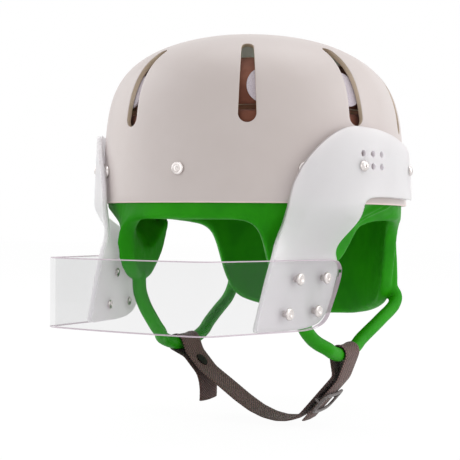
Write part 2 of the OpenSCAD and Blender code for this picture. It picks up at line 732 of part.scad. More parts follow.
// The front of the loop starts under the middle of the temple pad's thickness
loop_front_y = -46;
loop_front_x = temple_half_gap + temple_toe * loop_front_y + 0.42 * temple_side_t;
function front_point(share, y, z) = [mix(loop_front_x, loop_half_w, share), y, z];
loop_front = [front_point(0, loop_front_y, -temple_drop - 0.4), front_point(0, -45.4, -57),
    front_point(0, -42.5, -63), front_point(0, -37.5, -70), front_point(0.03, -31, -76.5),
    front_point(0.13, -23.5, -83), front_point(0.37, -15, -88.5)];
function swing_point(a) =
    [loop_half_w, loop_low_y + loop_arc_r * sin(a), swing_z - loop_arc_r * cos(a)];
loop_arc = [for (a = [-arc_half:6:arc_half]) swing_point(a)];
// The rear of the loop runs up the nape pad's outer face and tapers out
tail_angle = 149;
tail_taper = [0.95, 0.62];
tail_low = -60;
tail_high = -28;
tail = [for (z = [tail_low:8:tail_high])
    let (r = loop_d / 2 * mix(tail_taper[0], tail_taper[1], (z - tail_low) / (tail_high - tail_low)))
    polar(tail_angle, liner_r(tail_angle, z, 0) + r + 0.4, z)];
function rear_point(share, y, z) = [mix(loop_half_w, tail[0][0], share), y, z];
loop_rear = [rear_point(0.37, 64, -89.6), rear_point(0.83, 77, -84.5), rear_point(1.2, 90, -79.5),
    rear_point(1.5, 101, -75.5), rear_point(1.65, 108.5, -71.5), rear_point(1.56, 113, -66)];
loop_route = concat(loop_front, loop_arc, loop_rear, tail);
function loop_radius(i) =
    let (k = i - (len(loop_route) - len(tail)))
    loop_d / 2 * (k < 0 ? 1 : mix(tail_taper[0], tail_taper[1], k / (len(tail) - 1)));
function unit(v) = v / norm(v);
function heading(route, i) =
    unit(route[min(len(route) - 1, i + 1)] - route[max(0, i - 1)]);
// Ring of points round a route, kept level with the head's side
function route_ring(route, i, r) =
    let (d = heading(route, i), side = unit(cross(d, cross([1, 0, 0], d))), up = cross(d, side))
    [for (k = [0:loop_sides - 1])
        let (a = 360 * k / loop_sides)
        route[i] + r * (cos(a) * side + sin(a) * up)];
module left_chin_loop() {
    color("#3C9A2C")
        tube_solid([for (i = [0:len(loop_route) - 1]) route_ring(loop_route, i, loop_radius(i))]);
}
module right_chin_loop() { mirror([1, 0, 0]) left_chin_loop(); }

// Chin strap, seen from the front: a band folded over both loops.
// The near side has two layers that run straight through the slider.
fold_r = loop_d / 2 + strap_gap + strap_t / 2;
// Point of the strap: sideways place in from the near loop, and drop below the loops
function hang(inward, drop) = [loop_half_w - inward, loop_low_z - drop];
slider_top = hang(2, 16);
slider_foot = hang(25, 42.5);
slider_dir = unit(slider_foot - slider_top);
slider_normal = [slider_dir[1], -slider_dir[0]];
layer_gap = slider_wire + 0.6;
layer_half = (layer_gap + strap_t) / 2;
snap_dir = unit([14.5, -15.5]);
snap_normal = [snap_dir[1], -snap_dir[0]];
// Clear space between main strap and flap, which the snap's flanges fill
snap_gap = 1.6;
flap_step = snap_gap + strap_t;
snap_main = [14.5 - loop_half_w, loop_low_z - 12.4];
// Point of the strap's slack bottom: sideways place as a share of the loops', and drop below them
function sag(share, drop) = [share * loop_half_w, loop_low_z - drop];
function fold(side, from, to, steps) =
    [for (k = [0:steps])
        let (a = mix(from, to, k / steps))
        [side * loop_half_w + fold_r * cos(a), loop_low_z + fold_r * sin(a)]];
// The line of the strap starts below the slider on its outer layer and ends where the flap begins
strap_line = concat(
    [slider_foot - layer_half * slider_normal + 3 * slider_dir,
        slider_top - layer_half * slider_normal],
    fold(1, -21, 190, 14),
    [slider_top + layer_half * slider_normal, slider_foot + layer_half * slider_normal,
        sag(0.49, 45.6), sag(0.384, 47.4), sag(0.256, 48), sag(0.112, 46.6), sag(-0.048, 43),
        sag(-0.224, 36.8), sag(-0.432, 28.2)],
    [snap_main + 8 * snap_dir, snap_main, snap_main - 8 * snap_dir],
    fold(-1, 22, 240, 14));
flap_hinge = strap_line[len(strap_line) - 1];
flap_line = [flap_hinge, snap_main + flap_step * snap_normal - 7 * snap_dir,
    snap_main + flap_step * snap_normal + 6.5 * snap_dir,
    for (d = [[3.8, -9.2], [5.4, -14.1], [6.2, -20.1], [6, -27.6]]) snap_main + d];

// Outline of a band of thickness t along a line of points
function left_of(line, i) =
    let (d = unit(line[min(len(line) - 1, i + 1)] - line[max(0, i - 1)])) [-d[1], d[0]];
function band_outline(line, t) = concat(
    [for (i = [0:len(line) - 1]) line[i] + t / 2 * left_of(line, i)],
    [for (i = [len(line) - 1:-1:0]) line[i] - t / 2 * left_of(line, i)]);

// Turns a front-view outline round the swing line and trims it to the strap's width
module strap_band(outline) {
    intersection() {
        translate([0, loop_low_y, swing_z])
            rotate([0, 90, 0])
                rotate([0, 0, -30])
                    rotate_extrude(angle = 60, $fn = 72)
                        polygon([for (p = outline) [swing_z - p[1], p[0]]]);
        translate([-shell_half_w, loop_low_y - strap_w / 2, loop_low_z - loop_arc_r])
            cube([2 * shell_half_w, strap_w, 1.5 * loop_arc_r]);
    }
}
// Children stand on the front-view point p with their +Z along the front-view direction d
module on_strap(p, d) {
    translate([p[0], loop_low_y, p[1]])
        rotate([0, atan2(d[0], d[1]), 0])
            children();
}

stud_post_d = snap_ball_d - 1;
module strap_webbing() {
    color("#5B3F3C")
        difference() {
            strap_band(band_outline(strap_line, strap_t));
            on_strap(snap_main, snap_normal)
                translate([0, 0, -strap_t])
                    cylinder(d = stud_post_d + 2 * fit, h = 2 * strap_t);
        }
}

flange_t = 0.5;
module snap_stud() {
    color("#4A4043")
        on_strap(snap_main, snap_normal) {
            translate([0, 0, -strap_t / 2 - flange_t - 0.15])
                cylinder(d = snap_d * 0.7, h = flange_t);
            translate([0, 0, -strap_t / 2 - flange_t])
                cylinder(d = stud_post_d, h = strap_t + 2 * flange_t);
            translate([0, 0, strap_t / 2 + 0.15])
                cylinder(d = snap_d * 0.6, h = flange_t);
            translate([0, 0, strap_t / 2 + flange_t])
                cylinder(d = snap_ball_d, h = snap_gap - flange_t + 0.3);
        }
}

cap_post_d = snap_ball_d + 2.4;
module strap_flap() {
    gap = 0.4;
    start = flap_hinge + gap * unit(flap_line[1] - flap_hinge);
    line = concat([start], [for (i = [1:len(flap_line) - 1]) flap_line[i]]);
    color("#5B3F3C")
        difference() {
            strap_band(band_outline(line, strap_t));
            on_strap(snap_main + flap_step * snap_normal, snap_normal)
                translate([0, 0, -strap_t])
                    cylinder(d = cap_post_d + 2 * fit, h = 2 * strap_t);
        }
}
module snap_cap() {
    color("#3E3030")
        on_strap(snap_main + flap_step * snap_normal, snap_normal)
            difference() {
                union() {
                    translate([0, 0, strap_t / 2 + 0.15])
                        cylinder(d = snap_d, h = 1);
                    translate([0, 0, strap_t / 2 + 1.1])
                        cylinder(d1 = snap_d * 0.9, d2 = snap_d * 0.75, h = 0.5);
                    translate([0, 0, -strap_t / 2 - flange_t])
                        cylinder(d = cap_post_d, h = strap_t + flange_t + 0.6);
                    translate([0, 0, -strap_t / 2 - flange_t - 0.1])
                        cylinder(d = cap_post_d + 2.4, h = flange_t);
                }
                translate([0, 0, -strap_t / 2 - flange_t - 1])
                    cylinder(d = snap_ball_d + 0.6, h = strap_t + flange_t + 0.6);
                translate([0, 0, strap_t / 2 + 0.9])
                    cylinder(d = snap_d * 0.3, h = 2);
            }
}

// Slider: a wire frame outside the strap's outer layer, with a bar between the two layers
slider_at = mix(slider_top, slider_foot, 0.56);
slider_drop = layer_half + strap_t / 2 + 0.4 + slider_wire / 2;
slider_side = (slider_in_w + slider_wire) / 2;
// Point of the slider: share along its length, depth outside the strap, sideways distance
function slider_point(along_share, depth, side) =
    let (p = slider_at + along_share * (slider_len - slider_wire) / 2 * slider_dir
        - depth * slider_normal)
    [p[0], loop_low_y + side, swing_z - sqrt(pow(swing_z - p[1], 2) - side * side)];
// Wire across the strap, bent like the strap round the swing line
module cross_wire(along_share, depth) {
    p = slider_point(along_share, depth, 0);
    radius = swing_z - p[2];
    half = asin(slider_side / radius);
    translate([0, loop_low_y, swing_z])
        rotate([0, 90, 0])
            rotate([0, 0, -half])
                rotate_extrude(angle = 2 * half, $fn = 90)
                    translate([radius, p[0]])
                        circle(d = slider_wire, $fn = 20);
}
// Side of the frame, with a post up to the middle bar
module slider_cheek(side) {
    half_w = slider_wire / 2 + 0.1;
    reach = 1 + slider_wire / (slider_len - slider_wire);
    post = (half_w + 0.2) / (slider_len - slider_wire) * 2;
    function at(along_share, depth) =
        let (p = slider_point(along_share, depth, side)) [p[0], p[2]];
    translate([0, loop_low_y + side + slider_wire / 2, 0])
        rotate([90, 0, 0])
            linear_extrude(height = slider_wire)
                polygon([at(-reach, slider_drop + half_w), at(reach, slider_drop + half_w),
                    at(reach, slider_drop - half_w), at(post, slider_drop - half_w),
                    at(post, -half_w), at(-post, -half_w), at(-post, slider_drop - half_w),
                    at(-reach, slider_drop - half_w)]);
}
module strap_slider() {
    color("#77706F") {
        cross_wire(-1, slider_drop);
        cross_wire(1, slider_drop);
        cross_wire(0, 0);
        slider_cheek(-slider_side);
        slider_cheek(slider_side);
    }
}

hard_shell();
foam_liner();
ring_pad();
front_crown_pad();
back_crown_pad();
left_crown_pad();
right_crown_pad();
hook_dots();
left_chin_loop();
right_chin_loop();
liner_rivets();
liner_rivet_washers();
left_side_plate();
right_side_plate();
face_bar();
left_bar_rivets();
right_bar_rivets();
left_plate_screws();
right_plate_screws();
left_plate_spacers();
right_plate_spacers();
left_tee_nuts();
right_tee_nuts();
strap_webbing();
snap_stud();
strap_flap();
snap_cap();
strap_slider();
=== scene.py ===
"""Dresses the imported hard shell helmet: its smooth forms, its finishes, the light and the camera.

Lengths that describe the helmet are millimetres, as in its drawing, and become metres when a
point is placed. Angles round the head run from the face, 0 at -Y, through the wearer's left.
"""

from __future__ import annotations

import json
import logging
import math
from dataclasses import dataclass
from enum import Enum
from typing import Any, Callable, ClassVar, Iterable, Sequence

import bmesh
import bpy
from mathutils import Matrix, Vector

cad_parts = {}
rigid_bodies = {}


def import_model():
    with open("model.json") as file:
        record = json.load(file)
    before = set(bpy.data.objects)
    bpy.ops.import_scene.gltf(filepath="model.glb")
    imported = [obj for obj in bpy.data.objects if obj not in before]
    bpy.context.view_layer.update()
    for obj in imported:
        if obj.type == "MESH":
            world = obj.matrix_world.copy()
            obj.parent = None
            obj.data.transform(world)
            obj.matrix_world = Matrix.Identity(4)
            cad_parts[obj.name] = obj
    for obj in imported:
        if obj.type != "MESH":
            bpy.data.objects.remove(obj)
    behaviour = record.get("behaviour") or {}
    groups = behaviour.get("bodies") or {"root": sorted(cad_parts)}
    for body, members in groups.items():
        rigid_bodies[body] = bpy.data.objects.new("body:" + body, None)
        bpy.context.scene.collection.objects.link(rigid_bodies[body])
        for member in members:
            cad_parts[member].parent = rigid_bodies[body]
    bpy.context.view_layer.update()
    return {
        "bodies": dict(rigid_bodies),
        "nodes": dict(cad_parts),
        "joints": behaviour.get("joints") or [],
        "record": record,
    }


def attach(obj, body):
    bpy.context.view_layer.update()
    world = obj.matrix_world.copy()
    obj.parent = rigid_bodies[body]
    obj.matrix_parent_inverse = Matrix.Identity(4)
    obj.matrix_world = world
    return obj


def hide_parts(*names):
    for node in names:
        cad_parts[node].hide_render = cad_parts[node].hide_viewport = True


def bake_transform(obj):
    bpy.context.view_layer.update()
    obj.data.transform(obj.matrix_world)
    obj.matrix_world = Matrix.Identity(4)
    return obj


LOG = logging.getLogger("helmet")
MM = 0.001
Point2 = tuple[float, float]


def mix(a: float, b: float, share: float) -> float:
    """Returns the value at a share of the way from a to b."""
    return a + (b - a) * share


def smooth(a: float) -> float:
    """Returns a cut to 0..1 and eased at both ends."""
    s = min(1.0, max(0.0, a))
    return s * s * (3 - 2 * s)


def relaxed(points: Sequence[Point2], step: float, rounds: int, closed: bool = False) -> list[Point2]:
    """Walks a line in even steps and rounds its corners.

    Args:
        points: The line's corners.
        step: The distance between the returned points.
        rounds: How often each point moves halfway to its neighbours' middle.
        closed: Whether the line returns to its start.

    Returns:
        The points of the rounded line. An open line keeps its two ends.
    """
    corners = list(points) + ([points[0]] if closed else [])
    line: list[Point2] = []
    for (ax, ay), (bx, by) in zip(corners, corners[1:]):
        count = max(1, round(math.hypot(bx - ax, by - ay) / step))
        line += [(mix(ax, bx, k / count), mix(ay, by, k / count)) for k in range(count)]
    if not closed:
        line.append(corners[-1])
    last = len(line) - 1
    for _ in range(rounds):
        line = [
            p if not closed and i in (0, last) else (
                p[0] / 2 + (line[i - 1][0] + line[(i + 1) % len(line)][0]) / 4,
                p[1] / 2 + (line[i - 1][1] + line[(i + 1) % len(line)][1]) / 4,
            )
            for i, p in enumerate(line)
        ]
    return line


def along(line: Sequence[Point2], x: float) -> float:
    """Returns the value at x of a line of (x, value) points.

    Args:
        line: The points, in order of x.
        x: Where the value is read.

    Returns:
        The value, which past either end stays what it is there.
    """
    for (ax, av), (bx, bv) in zip(line, line[1:]):
        if x <= bx:
            return mix(av, bv, min(1.0, max(0.0, (x - ax) / (bx - ax))))
    return line[-1][1]


@dataclass(frozen=True)
class ShellForm:
    """The egg-shaped bowl that every layer of the helmet follows."""

    half_w: float = 97.0
    front: float = 88.7
    back: float = 148.0
    height: float = 112.8
    wall: float = 3.0
    rim_flare: float = 0.04
    nape_flare: float = 0.03
    plan_n: float = 1.9
    crown_m: float = 5.42
    crown_k: float = 2.02
    round_off: float = 0.002

    def _power(self, share: float) -> float:
        """Returns a plan share to the plan's exponent, rounded off at nought."""
        half = self.plan_n / 2
        return (share * share + self.round_off) ** half - self.round_off**half

    def plan_r(self, t: float, inset: float) -> float:
        """Returns the plan's radius at polar angle t on a layer inset inside the skin.

        Args:
            t: The polar angle.
            inset: The layer's depth inside the skin.

        Returns:
            The radius in millimetres, before the rim's flare.
        """
        end = (self.front if math.cos(math.radians(t)) > 0 else self.back) - inset
        across = self._power(abs(math.sin(math.radians(t))))
        lengthwise = self._power(abs(math.cos(math.radians(t))))
        return (
            across / (self.half_w - inset) ** self.plan_n + lengthwise / end**self.plan_n
        ) ** (-1 / self.plan_n)

    def rise(self, u: float) -> float:
        """Returns the share of the plan's radius left at a share u of the height."""
        return max(0.0, 1 - min(1.0, u) ** self.crown_m) ** (1 / self.crown_k)

    def radius(self, t: float, z: float, inset: float) -> float:
        """Returns the radius at polar angle t and height z on a layer inset inside the skin.

        Args:
            t: The polar angle.
            z: The height.
            inset: The layer's depth inside the skin.

        Returns:
            The radius in millimetres.
        """
        u = min(1.0, max(0.0, z) / (self.height - inset))
        nape = self.nape_flare * max(0.0, -math.cos(math.radians(t))) ** 1.2 * (1 - u) ** 6
        return self.plan_r(t, inset) * self.rise(u) * (1 + self.rim_flare * (1 - u) + nape)

    def skin(self, t: float, z: float, inset: float) -> Vector:
        """Returns the point at polar angle t and height z on a layer inset inside the skin."""
        return polar(t, self.radius(t, z, inset), z)

    def stand(self, t: float, z: float) -> Matrix:
        """Returns the placing, in metres, of what stands on the skin with its +Z outwards.

        Args:
            t: The polar angle.
            z: The height.

        Returns:
            The matrix, with +X down the shell.
        """
        base = self.skin(t, z, 0)
        sideways = self.skin(t + 0.5, z, 0) - self.skin(t - 0.5, z, 0)
        upwards = self.skin(t, z + 0.5, 0) - self.skin(t, z - 0.5, 0)
        normal = sideways.cross(upwards).normalized()
        x_axis = (-upwards).normalized()
        y_axis = normal.cross(x_axis)
        return placing(base, x_axis, y_axis, normal)


def boxed(a: float, power: float) -> float:
    """Returns a sine or cosine raised to a power with its sign kept: below 1 it squares a round section."""
    return math.copysign(abs(a) ** power, a)


def polar(t: float, r: float, z: float) -> Vector:
    """Returns the point, in millimetres, at polar angle t, radius r and height z."""
    return Vector((r * math.sin(math.radians(t)), -r * math.cos(math.radians(t)), z))


def placing(base: Vector, x_axis: Vector, y_axis: Vector, z_axis: Vector) -> Matrix:
    """Returns the matrix in metres with these axes, from a base in millimetres."""
    turn = Matrix((x_axis, y_axis, z_axis)).transposed().to_4x4()
    return Matrix.Translation(base * MM) @ turn


def lifted(height: float) -> Matrix:
    """Returns the matrix in metres that moves a piece up by millimetres."""
    return Matrix.Translation((0, 0, height * MM))


@dataclass(frozen=True)
class Layout:
    """Places that the liner's loops, the strap, the plates and the bar share."""

    loop_d: float = 9.5
    loop_half_w: float = 62.5
    loop_low_y: float = 25.0
    loop_low_z: float = -100.0
    loop_arc_r: float = 74.0
    limb_x: float = 79.9340
    limb_toe: float = 0.18
    sheet_t: float = 3.0


FORM = ShellForm()
PLACES = Layout()


class Mesh:
    """Mesh work that several sub-assemblies share."""

    @staticmethod
    def sheet(cols: int, rows: int, place: Callable[[float, float], Vector]) -> bmesh.types.BMesh:
        """Lays a grid over a surface.

        Args:
            cols: The faces along the first direction.
            rows: The faces along the second direction.
            place: Gives the point in millimetres at two shares from 0 to 1.

        Returns:
            A bmesh with a UV map of the two shares.
        """
        bm = bmesh.new()
        bmesh.ops.create_grid(bm, x_segments=cols, y_segments=rows, size=0.5)
        uv = bm.loops.layers.uv.new("UVMap")
        for face in bm.faces:
            for loop in face.loops:
                loop[uv].uv = (loop.vert.co.x + 0.5, loop.vert.co.y + 0.5)
        for vert in bm.verts:
            u = round((vert.co.x + 0.5) * cols) / cols
            v = round((vert.co.y + 0.5) * rows) / rows
            vert.co = place(u, v) * MM
        return bm

    @staticmethod
    def close(bm: bmesh.types.BMesh) -> bmesh.types.BMesh:
        """Merges seams and poles, fills open ends and turns the faces outwards.

        Args:
            bm: The mesh, which is changed.

        Returns:
            The same mesh.
        """
        bmesh.ops.remove_doubles(bm, verts=bm.verts, dist=1e-6)
        bmesh.ops.holes_fill(bm, edges=[e for e in bm.edges if e.is_boundary], sides=0)
        bmesh.ops.recalc_face_normals(bm, faces=bm.faces)
        if bm.calc_volume(signed=True) < 0:
            bmesh.ops.reverse_faces(bm, faces=bm.faces)
        return bm

    @staticmethod
    def turned(profile: Sequence[Point2], steps: int = 32) -> bmesh.types.BMesh:
        """Spins a profile of (radius, height) points in millimetres about Z into a solid.

        Args:
            profile: The points, from the axis back to the axis.
            steps: The faces in a turn.

        Returns:
            The closed mesh.
        """
        bm = bmesh.new()
        verts = [bm.verts.new((r * MM, 0, z * MM)) for r, z in profile]
        edges = [bm.edges.new(pair) for pair in zip(verts, verts[1:])]
        bmesh.ops.spin(
            bm, geom=verts + edges, axis=(0, 0, 1), cent=(0, 0, 0),
            angle=math.tau, steps=steps, use_merge=True,
        )
        return Mesh.close(bm)

    @staticmethod
    def gather(parts: Iterable[tuple[bmesh.types.BMesh, Matrix]]) -> bmesh.types.BMesh:
        """Returns one bmesh of several, each moved by its matrix, and frees the parts.

        Args:
            parts: Each part with its matrix in metres.

        Returns:
            The joined mesh.
        """
        whole = bmesh.new()
        for bm, matrix in parts:
            bmesh.ops.transform(bm, matrix=matrix, verts=bm.verts)
            if matrix.determinant() < 0:
                bmesh.ops.reverse_faces(bm, faces=bm.faces)
            part = bpy.data.meshes.new("part")
            bm.to_mesh(part)
            bm.free()
            whole.from_mesh(part)
            bpy.data.meshes.remove(part)
        return whole

    @staticmethod
    def mirrored(bm: bmesh.types.BMesh) -> bmesh.types.BMesh:
        """Returns the wearer's right copy of a piece on the left.

        Args:
            bm: The mesh of the left piece, which is kept.

        Returns:
            The mirror image.
        """
        other = bm.copy()
        bmesh.ops.transform(other, matrix=Matrix.Scale(-1, 4, (1, 0, 0)), verts=other.verts)
        bmesh.ops.reverse_faces(other, faces=other.faces)
        return other

    @staticmethod
    def object(name: str, bm: bmesh.types.BMesh, sharp: float = 35.0) -> bpy.types.Object:
        """Makes a scene object, shaded smooth up to an angle of sharp degrees.

        Args:
            name: The piece's name.
            bm: Its mesh, which is freed.
            sharp: The angle in degrees.

        Returns:
            The object.
        """
        mesh = bpy.data.meshes.new(name)
        bm.to_mesh(mesh)
        bm.free()
        obj = bpy.data.objects.new(name, mesh)
        bpy.context.scene.collection.objects.link(obj)
        Mesh.shade(obj, sharp)
        return obj

    @staticmethod
    def shade(obj: bpy.types.Object, sharp: float) -> None:
        """Shades a piece smooth except over edges sharper than an angle in degrees.

        Args:
            obj: The piece.
            sharp: The angle.
        """
        obj.data.polygons.foreach_set("use_smooth", [True] * len(obj.data.polygons))
        obj.data.set_sharp_from_angle(angle=math.radians(sharp))
        obj.data.update()

    @staticmethod
    def settle(obj: bpy.types.Object) -> None:
        """Bakes a piece's modifiers into its mesh.

        Args:
            obj: The piece.
        """
        bpy.context.view_layer.update()
        graph = bpy.context.evaluated_depsgraph_get()
        mesh = bpy.data.meshes.new_from_object(obj.evaluated_get(graph), depsgraph=graph)
        old = obj.data
        obj.modifiers.clear()
        obj.data = mesh
        bpy.data.meshes.remove(old)

    @staticmethod
    def carve(
        obj: bpy.types.Object, tool: bmesh.types.BMesh, operation: str, crossing: bool = False,
    ) -> None:
        """Cuts a piece by a tool.

        Args:
            obj: The piece.
            tool: The tool's mesh, which is freed.
            operation: DIFFERENCE or INTERSECT.
            crossing: Whether the tool's own faces may cross each other.
        """
        cutter = Mesh.object("cutter", tool)
        cut = obj.modifiers.new("cut", "BOOLEAN")
        cut.operation = operation
        cut.solver = "EXACT"
        cut.use_self = crossing
        cut.object = cutter
        Mesh.settle(obj)
        bpy.data.objects.remove(cutter)


class Wire:
    """A shader value that Python's operators combine through Math nodes."""

    def __init__(self, graph: "Graph", socket: bpy.types.NodeSocket | None) -> None:
        """Holds one output socket of a graph, or none for a node that ends the tree."""
        self.graph = graph
        self.socket = socket

    def _math(self, operation: str, *values: Any) -> "Wire":
        """Adds one Math node on its values."""
        return self.graph.node("ShaderNodeMath", {"operation": operation}, dict(enumerate(values)))

    def __add__(self, other: Any) -> "Wire":
        """Returns the sum."""
        return self._math("ADD", self, other)

    __radd__ = __add__

    def __sub__(self, other: Any) -> "Wire":
        """Returns the difference."""
        return self._math("SUBTRACT", self, other)

    def __rsub__(self, other: Any) -> "Wire":
        """Returns the difference from a number."""
        return self._math("SUBTRACT", other, self)

    def __mul__(self, other: Any) -> "Wire":
        """Returns the product."""
        return self._math("MULTIPLY", self, other)

    __rmul__ = __mul__

    def __abs__(self) -> "Wire":
        """Returns the size without its sign."""
        return self._math("ABSOLUTE", self)

    def sine(self) -> "Wire":
        """Returns the sine."""
        return self._math("SINE", self)

    def wave(self, turns: float) -> "Wire":
        """Returns a wave from 0 to 1, turns radians long for each unit of the value."""
        return (self * turns).sine() * 0.5 + 0.5

    def above(self, limit: float) -> "Wire":
        """Returns 1 where the value is above a limit and 0 elsewhere."""
        return self._math("GREATER_THAN", self, limit)

    def least(self, other: Any) -> "Wire":
        """Returns the smaller of two values."""
        return self._math("MINIMUM", self, other)

    def span(self, low: float, high: float, to_low: float = 0.0, to_high: float = 1.0) -> "Wire":
        """Returns the value eased from one range to another, and held outside it.

        Args:
            low: The value that gives to_low.
            high: The value that gives to_high.
            to_low: The result at low and below.
            to_high: The result at high and above.

        Returns:
            The eased value.
        """
        settings = {"interpolation_type": "SMOOTHSTEP"}
        values = {"Value": self, "From Min": low, "From Max": high, "To Min": to_low, "To Max": to_high}
        return self.graph.node("ShaderNodeMapRange", settings, values)


class Graph:
    """The node tree of one finish, of the floor or of the world."""

    def __init__(self, holder: bpy.types.Material | bpy.types.World) -> None:
        """Empties the node tree of a new material or world."""
        holder.use_nodes = True
        self.tree = holder.node_tree
        self.tree.nodes.clear()

    def node(
        self, kind: str, settings: dict[str, Any] | None = None,
        values: dict[Any, Any] | None = None, out: int | str = 0,
    ) -> Wire:
        """Adds one node.

        Args:
            kind: The node's type.
            settings: What is set on the node itself, before its sockets.
            values: Numbers, colours or wires, by the name or number of their socket.
            out: The output that is returned.

        Returns:
            The wire of that output.
        """
        made = self.tree.nodes.new(kind)
        for key, value in (settings or {}).items():
            setattr(made, key, value)
        for key, value in (values or {}).items():
            if isinstance(value, Wire):
                self.tree.links.new(value.socket, made.inputs[key])
            else:
                made.inputs[key].default_value = value
        return Wire(self, made.outputs[out] if made.outputs else None)

    def place(self) -> Wire:
        """Returns the piece's own coordinates in metres."""
        return self.node("ShaderNodeTexCoord", out="Object")

    def axis(self, index: int, vector: Wire | None = None) -> Wire:
        """Returns one coordinate, 0 for X to 2 for Z, of a vector or of the place."""
        return self.node("ShaderNodeSeparateXYZ", None, {0: vector or self.place()}, index)

    def noise(
        self, scale: float, detail: float = 3.0, rough: float = 0.5, vector: Wire | None = None,
    ) -> Wire:
        """Returns soft noise with about scale lumps a metre.

        Args:
            scale: The lumps to a metre.
            detail: How many finer layers lie on it.
            rough: How strong the finer layers are.
            vector: The place, or none for the piece's own.

        Returns:
            The noise, about 0.5.
        """
        values = {"Vector": vector or self.place(), "Scale": scale, "Detail": detail, "Roughness": rough}
        return self.node("ShaderNodeTexNoise", None, values)

    def cells(self, scale: float) -> Wire:
        """Returns the distance to the middle of cells, about scale to a metre."""
        return self.node("ShaderNodeTexVoronoi", None, {"Vector": self.place(), "Scale": scale})

    def blend(self, factor: Any, first: Any, second: Any) -> Wire:
        """Returns a colour between two colours."""
        values = {0: factor, 6: first, 7: second}
        return self.node("ShaderNodeMix", {"data_type": "RGBA"}, values, 2)

    def bump(self, height: Wire, depth: float, strength: float) -> Wire:
        """Returns the normal over a height from 0 to 1, depth metres deep."""
        values = {"Height": height, "Distance": depth, "Strength": strength}
        return self.node("ShaderNodeBump", None, values)

    def end(self, shader: Wire, kind: str = "Material") -> None:
        """Ends the tree of a material or of the world in a shader."""
        self.node("ShaderNodeOutput" + kind, None, {"Surface": shader})


def colour(code: str) -> tuple[float, float, float, float]:
    """Returns the linear colour of a hexadecimal code such as DAD0CB.

    Args:
        code: Two digits each of red, green and blue.

    Returns:
        Red, green, blue and an alpha of 1.
    """
    parts = [int(code[i:i + 2], 16) / 255 for i in (0, 2, 4)]
    linear = [p / 12.92 if p <= 0.04045 else ((p + 0.055) / 1.055) ** 2.4 for p in parts]
    return (*linear, 1.0)


@dataclass(frozen=True)
class Finish:
    """A finish of one material slot of the record, whose base colour varies to a shade."""

    slot: str
    base: str
    shade: str
    roughness: float
    suffix: ClassVar[str] = ""

    def make(self) -> bpy.types.Material:
        """Returns the finish as a material.

        Returns:
            A new material with the finish's node tree.
        """
        material = bpy.data.materials.new(self.slot + self.suffix)
        g = Graph(material)
        values = {key.replace("_", " "): value for key, value in self.surface(g).items()}
        g.end(g.node("ShaderNodeBsdfPrincipled", None, values))
        return material

    def surface(self, g: Graph) -> dict[str, Any]:
        """Returns the values of the surface shader, by the names of its sockets.

        Args:
            g: The finish's node tree.

        Returns:
            Numbers, colours or wires, with _ for each space in a socket's name.
        """
        raise NotImplementedError

    def tone(self, g: Graph, share: Wire) -> Wire:
        """Returns the colour at a share of the way from base to shade."""
        return g.blend(share, colour(self.base), colour(self.shade))

    def rough(self, g: Graph, scale: float) -> Wire:
        """Returns the roughness, a little higher in lumps, about scale of them to a metre."""
        return g.noise(scale) * 0.1 + self.roughness


class MouldedPlastic(Finish):
    """Satin moulded plastic, faintly mottled, paler and pinker on the trimmed rim."""

    rim_tone: ClassVar[str] = "F3D9D6"
    rim_z: ClassVar[Point2] = (0.0003, 0.0013)

    def surface(self, g: Graph) -> dict[str, Any]:
        """Returns the shader's values."""
        body = self.tone(g, g.noise(14.0, 4.0, 0.55).span(0.3, 0.7))
        rim = 1 - g.axis(2).span(*self.rim_z)
        scuffs = g.noise(420.0, 2.0).span(0.62, 0.74)
        grain = g.noise(900.0, 2.0) * 0.5 + g.noise(60.0, 1.0) * 0.5
        return dict(
            Base_Color=g.blend(rim, body, colour(self.rim_tone)),
            Roughness=scuffs * 0.07 + self.roughness,
            Normal=g.bump(grain, 0.00012, 0.35), Specular_IOR_Level=0.42,
        )


class CutPlastic(Finish):
    """Routed walls of the slots, a little rougher and more tan than the skin."""

    suffix = "_cut"

    def surface(self, g: Graph) -> dict[str, Any]:
        """Returns the shader's values."""
        return dict(
            Base_Color=self.tone(g, g.noise(160.0)), Roughness=self.rough(g, 700.0),
            Normal=g.bump(g.axis(2).wave(5200.0), 0.00005, 0.4),
        )


class DippedFoam(Finish):
    """Soft vinyl skin over foam: satin, with shallow pores and dents."""

    def surface(self, g: Graph) -> dict[str, Any]:
        """Returns the shader's values."""
        height = g.cells(520.0).span(0.0, 0.16) * 0.25 + g.noise(75.0, 2.0) * 0.75
        return dict(
            Base_Color=self.tone(g, g.noise(28.0, 3.0, 0.6).span(0.32, 0.68)),
            Roughness=g.noise(180.0).span(0.3, 0.7, self.roughness, self.roughness + 0.12),
            Normal=g.bump(height, 0.0006, 0.4), Specular_IOR_Level=0.12,
        )


class PadFabric(Finish):
    """Brushed pad cloth: a fine weave, a painted highlight along the top edge and beige tape below."""

    # Painted highlight: the copper tone and the band of heights where the pad's top edge is lightened as if
    # lit.
    edge_highlight_tone: ClassVar[str] = "C07A50"
    edge_highlight_band: ClassVar[Point2] = (0.0893, 0.0901)
    tape: ClassVar[str] = "C9AE97"
    tape_low_z: ClassVar[Point2] = (0.0566, 0.0568)
    tape_high_z: ClassVar[Point2] = (0.0592, 0.0596)

    def surface(self, g: Graph) -> dict[str, Any]:
        """Returns the shader's values."""
        x, y, z = (g.axis(k) for k in range(3))
        weave = ((x + y) * 7200.0).sine() * (z * 9000.0).sine() * 0.5 + 0.5
        cloudy = g.noise(60.0, 4.0, 0.6).span(0.3, 0.7)
        # Painted highlight: the top edge is lightened towards copper where the light would catch it.
        top_edge_lit = g.blend(z.span(*self.edge_highlight_band), self.tone(g, cloudy), colour(self.edge_highlight_tone))
        tape = z.span(*self.tape_low_z) * (1 - z.span(*self.tape_high_z))
        return dict(
            Base_Color=g.blend(tape, top_edge_lit, colour(self.tape)), Roughness=cloudy * 0.02 + self.roughness,
            Normal=g.bump(weave * 0.6 + g.noise(1600.0, 2.0) * 0.4, 0.0002, 0.6), Sheen_Weight=0.25,
        )


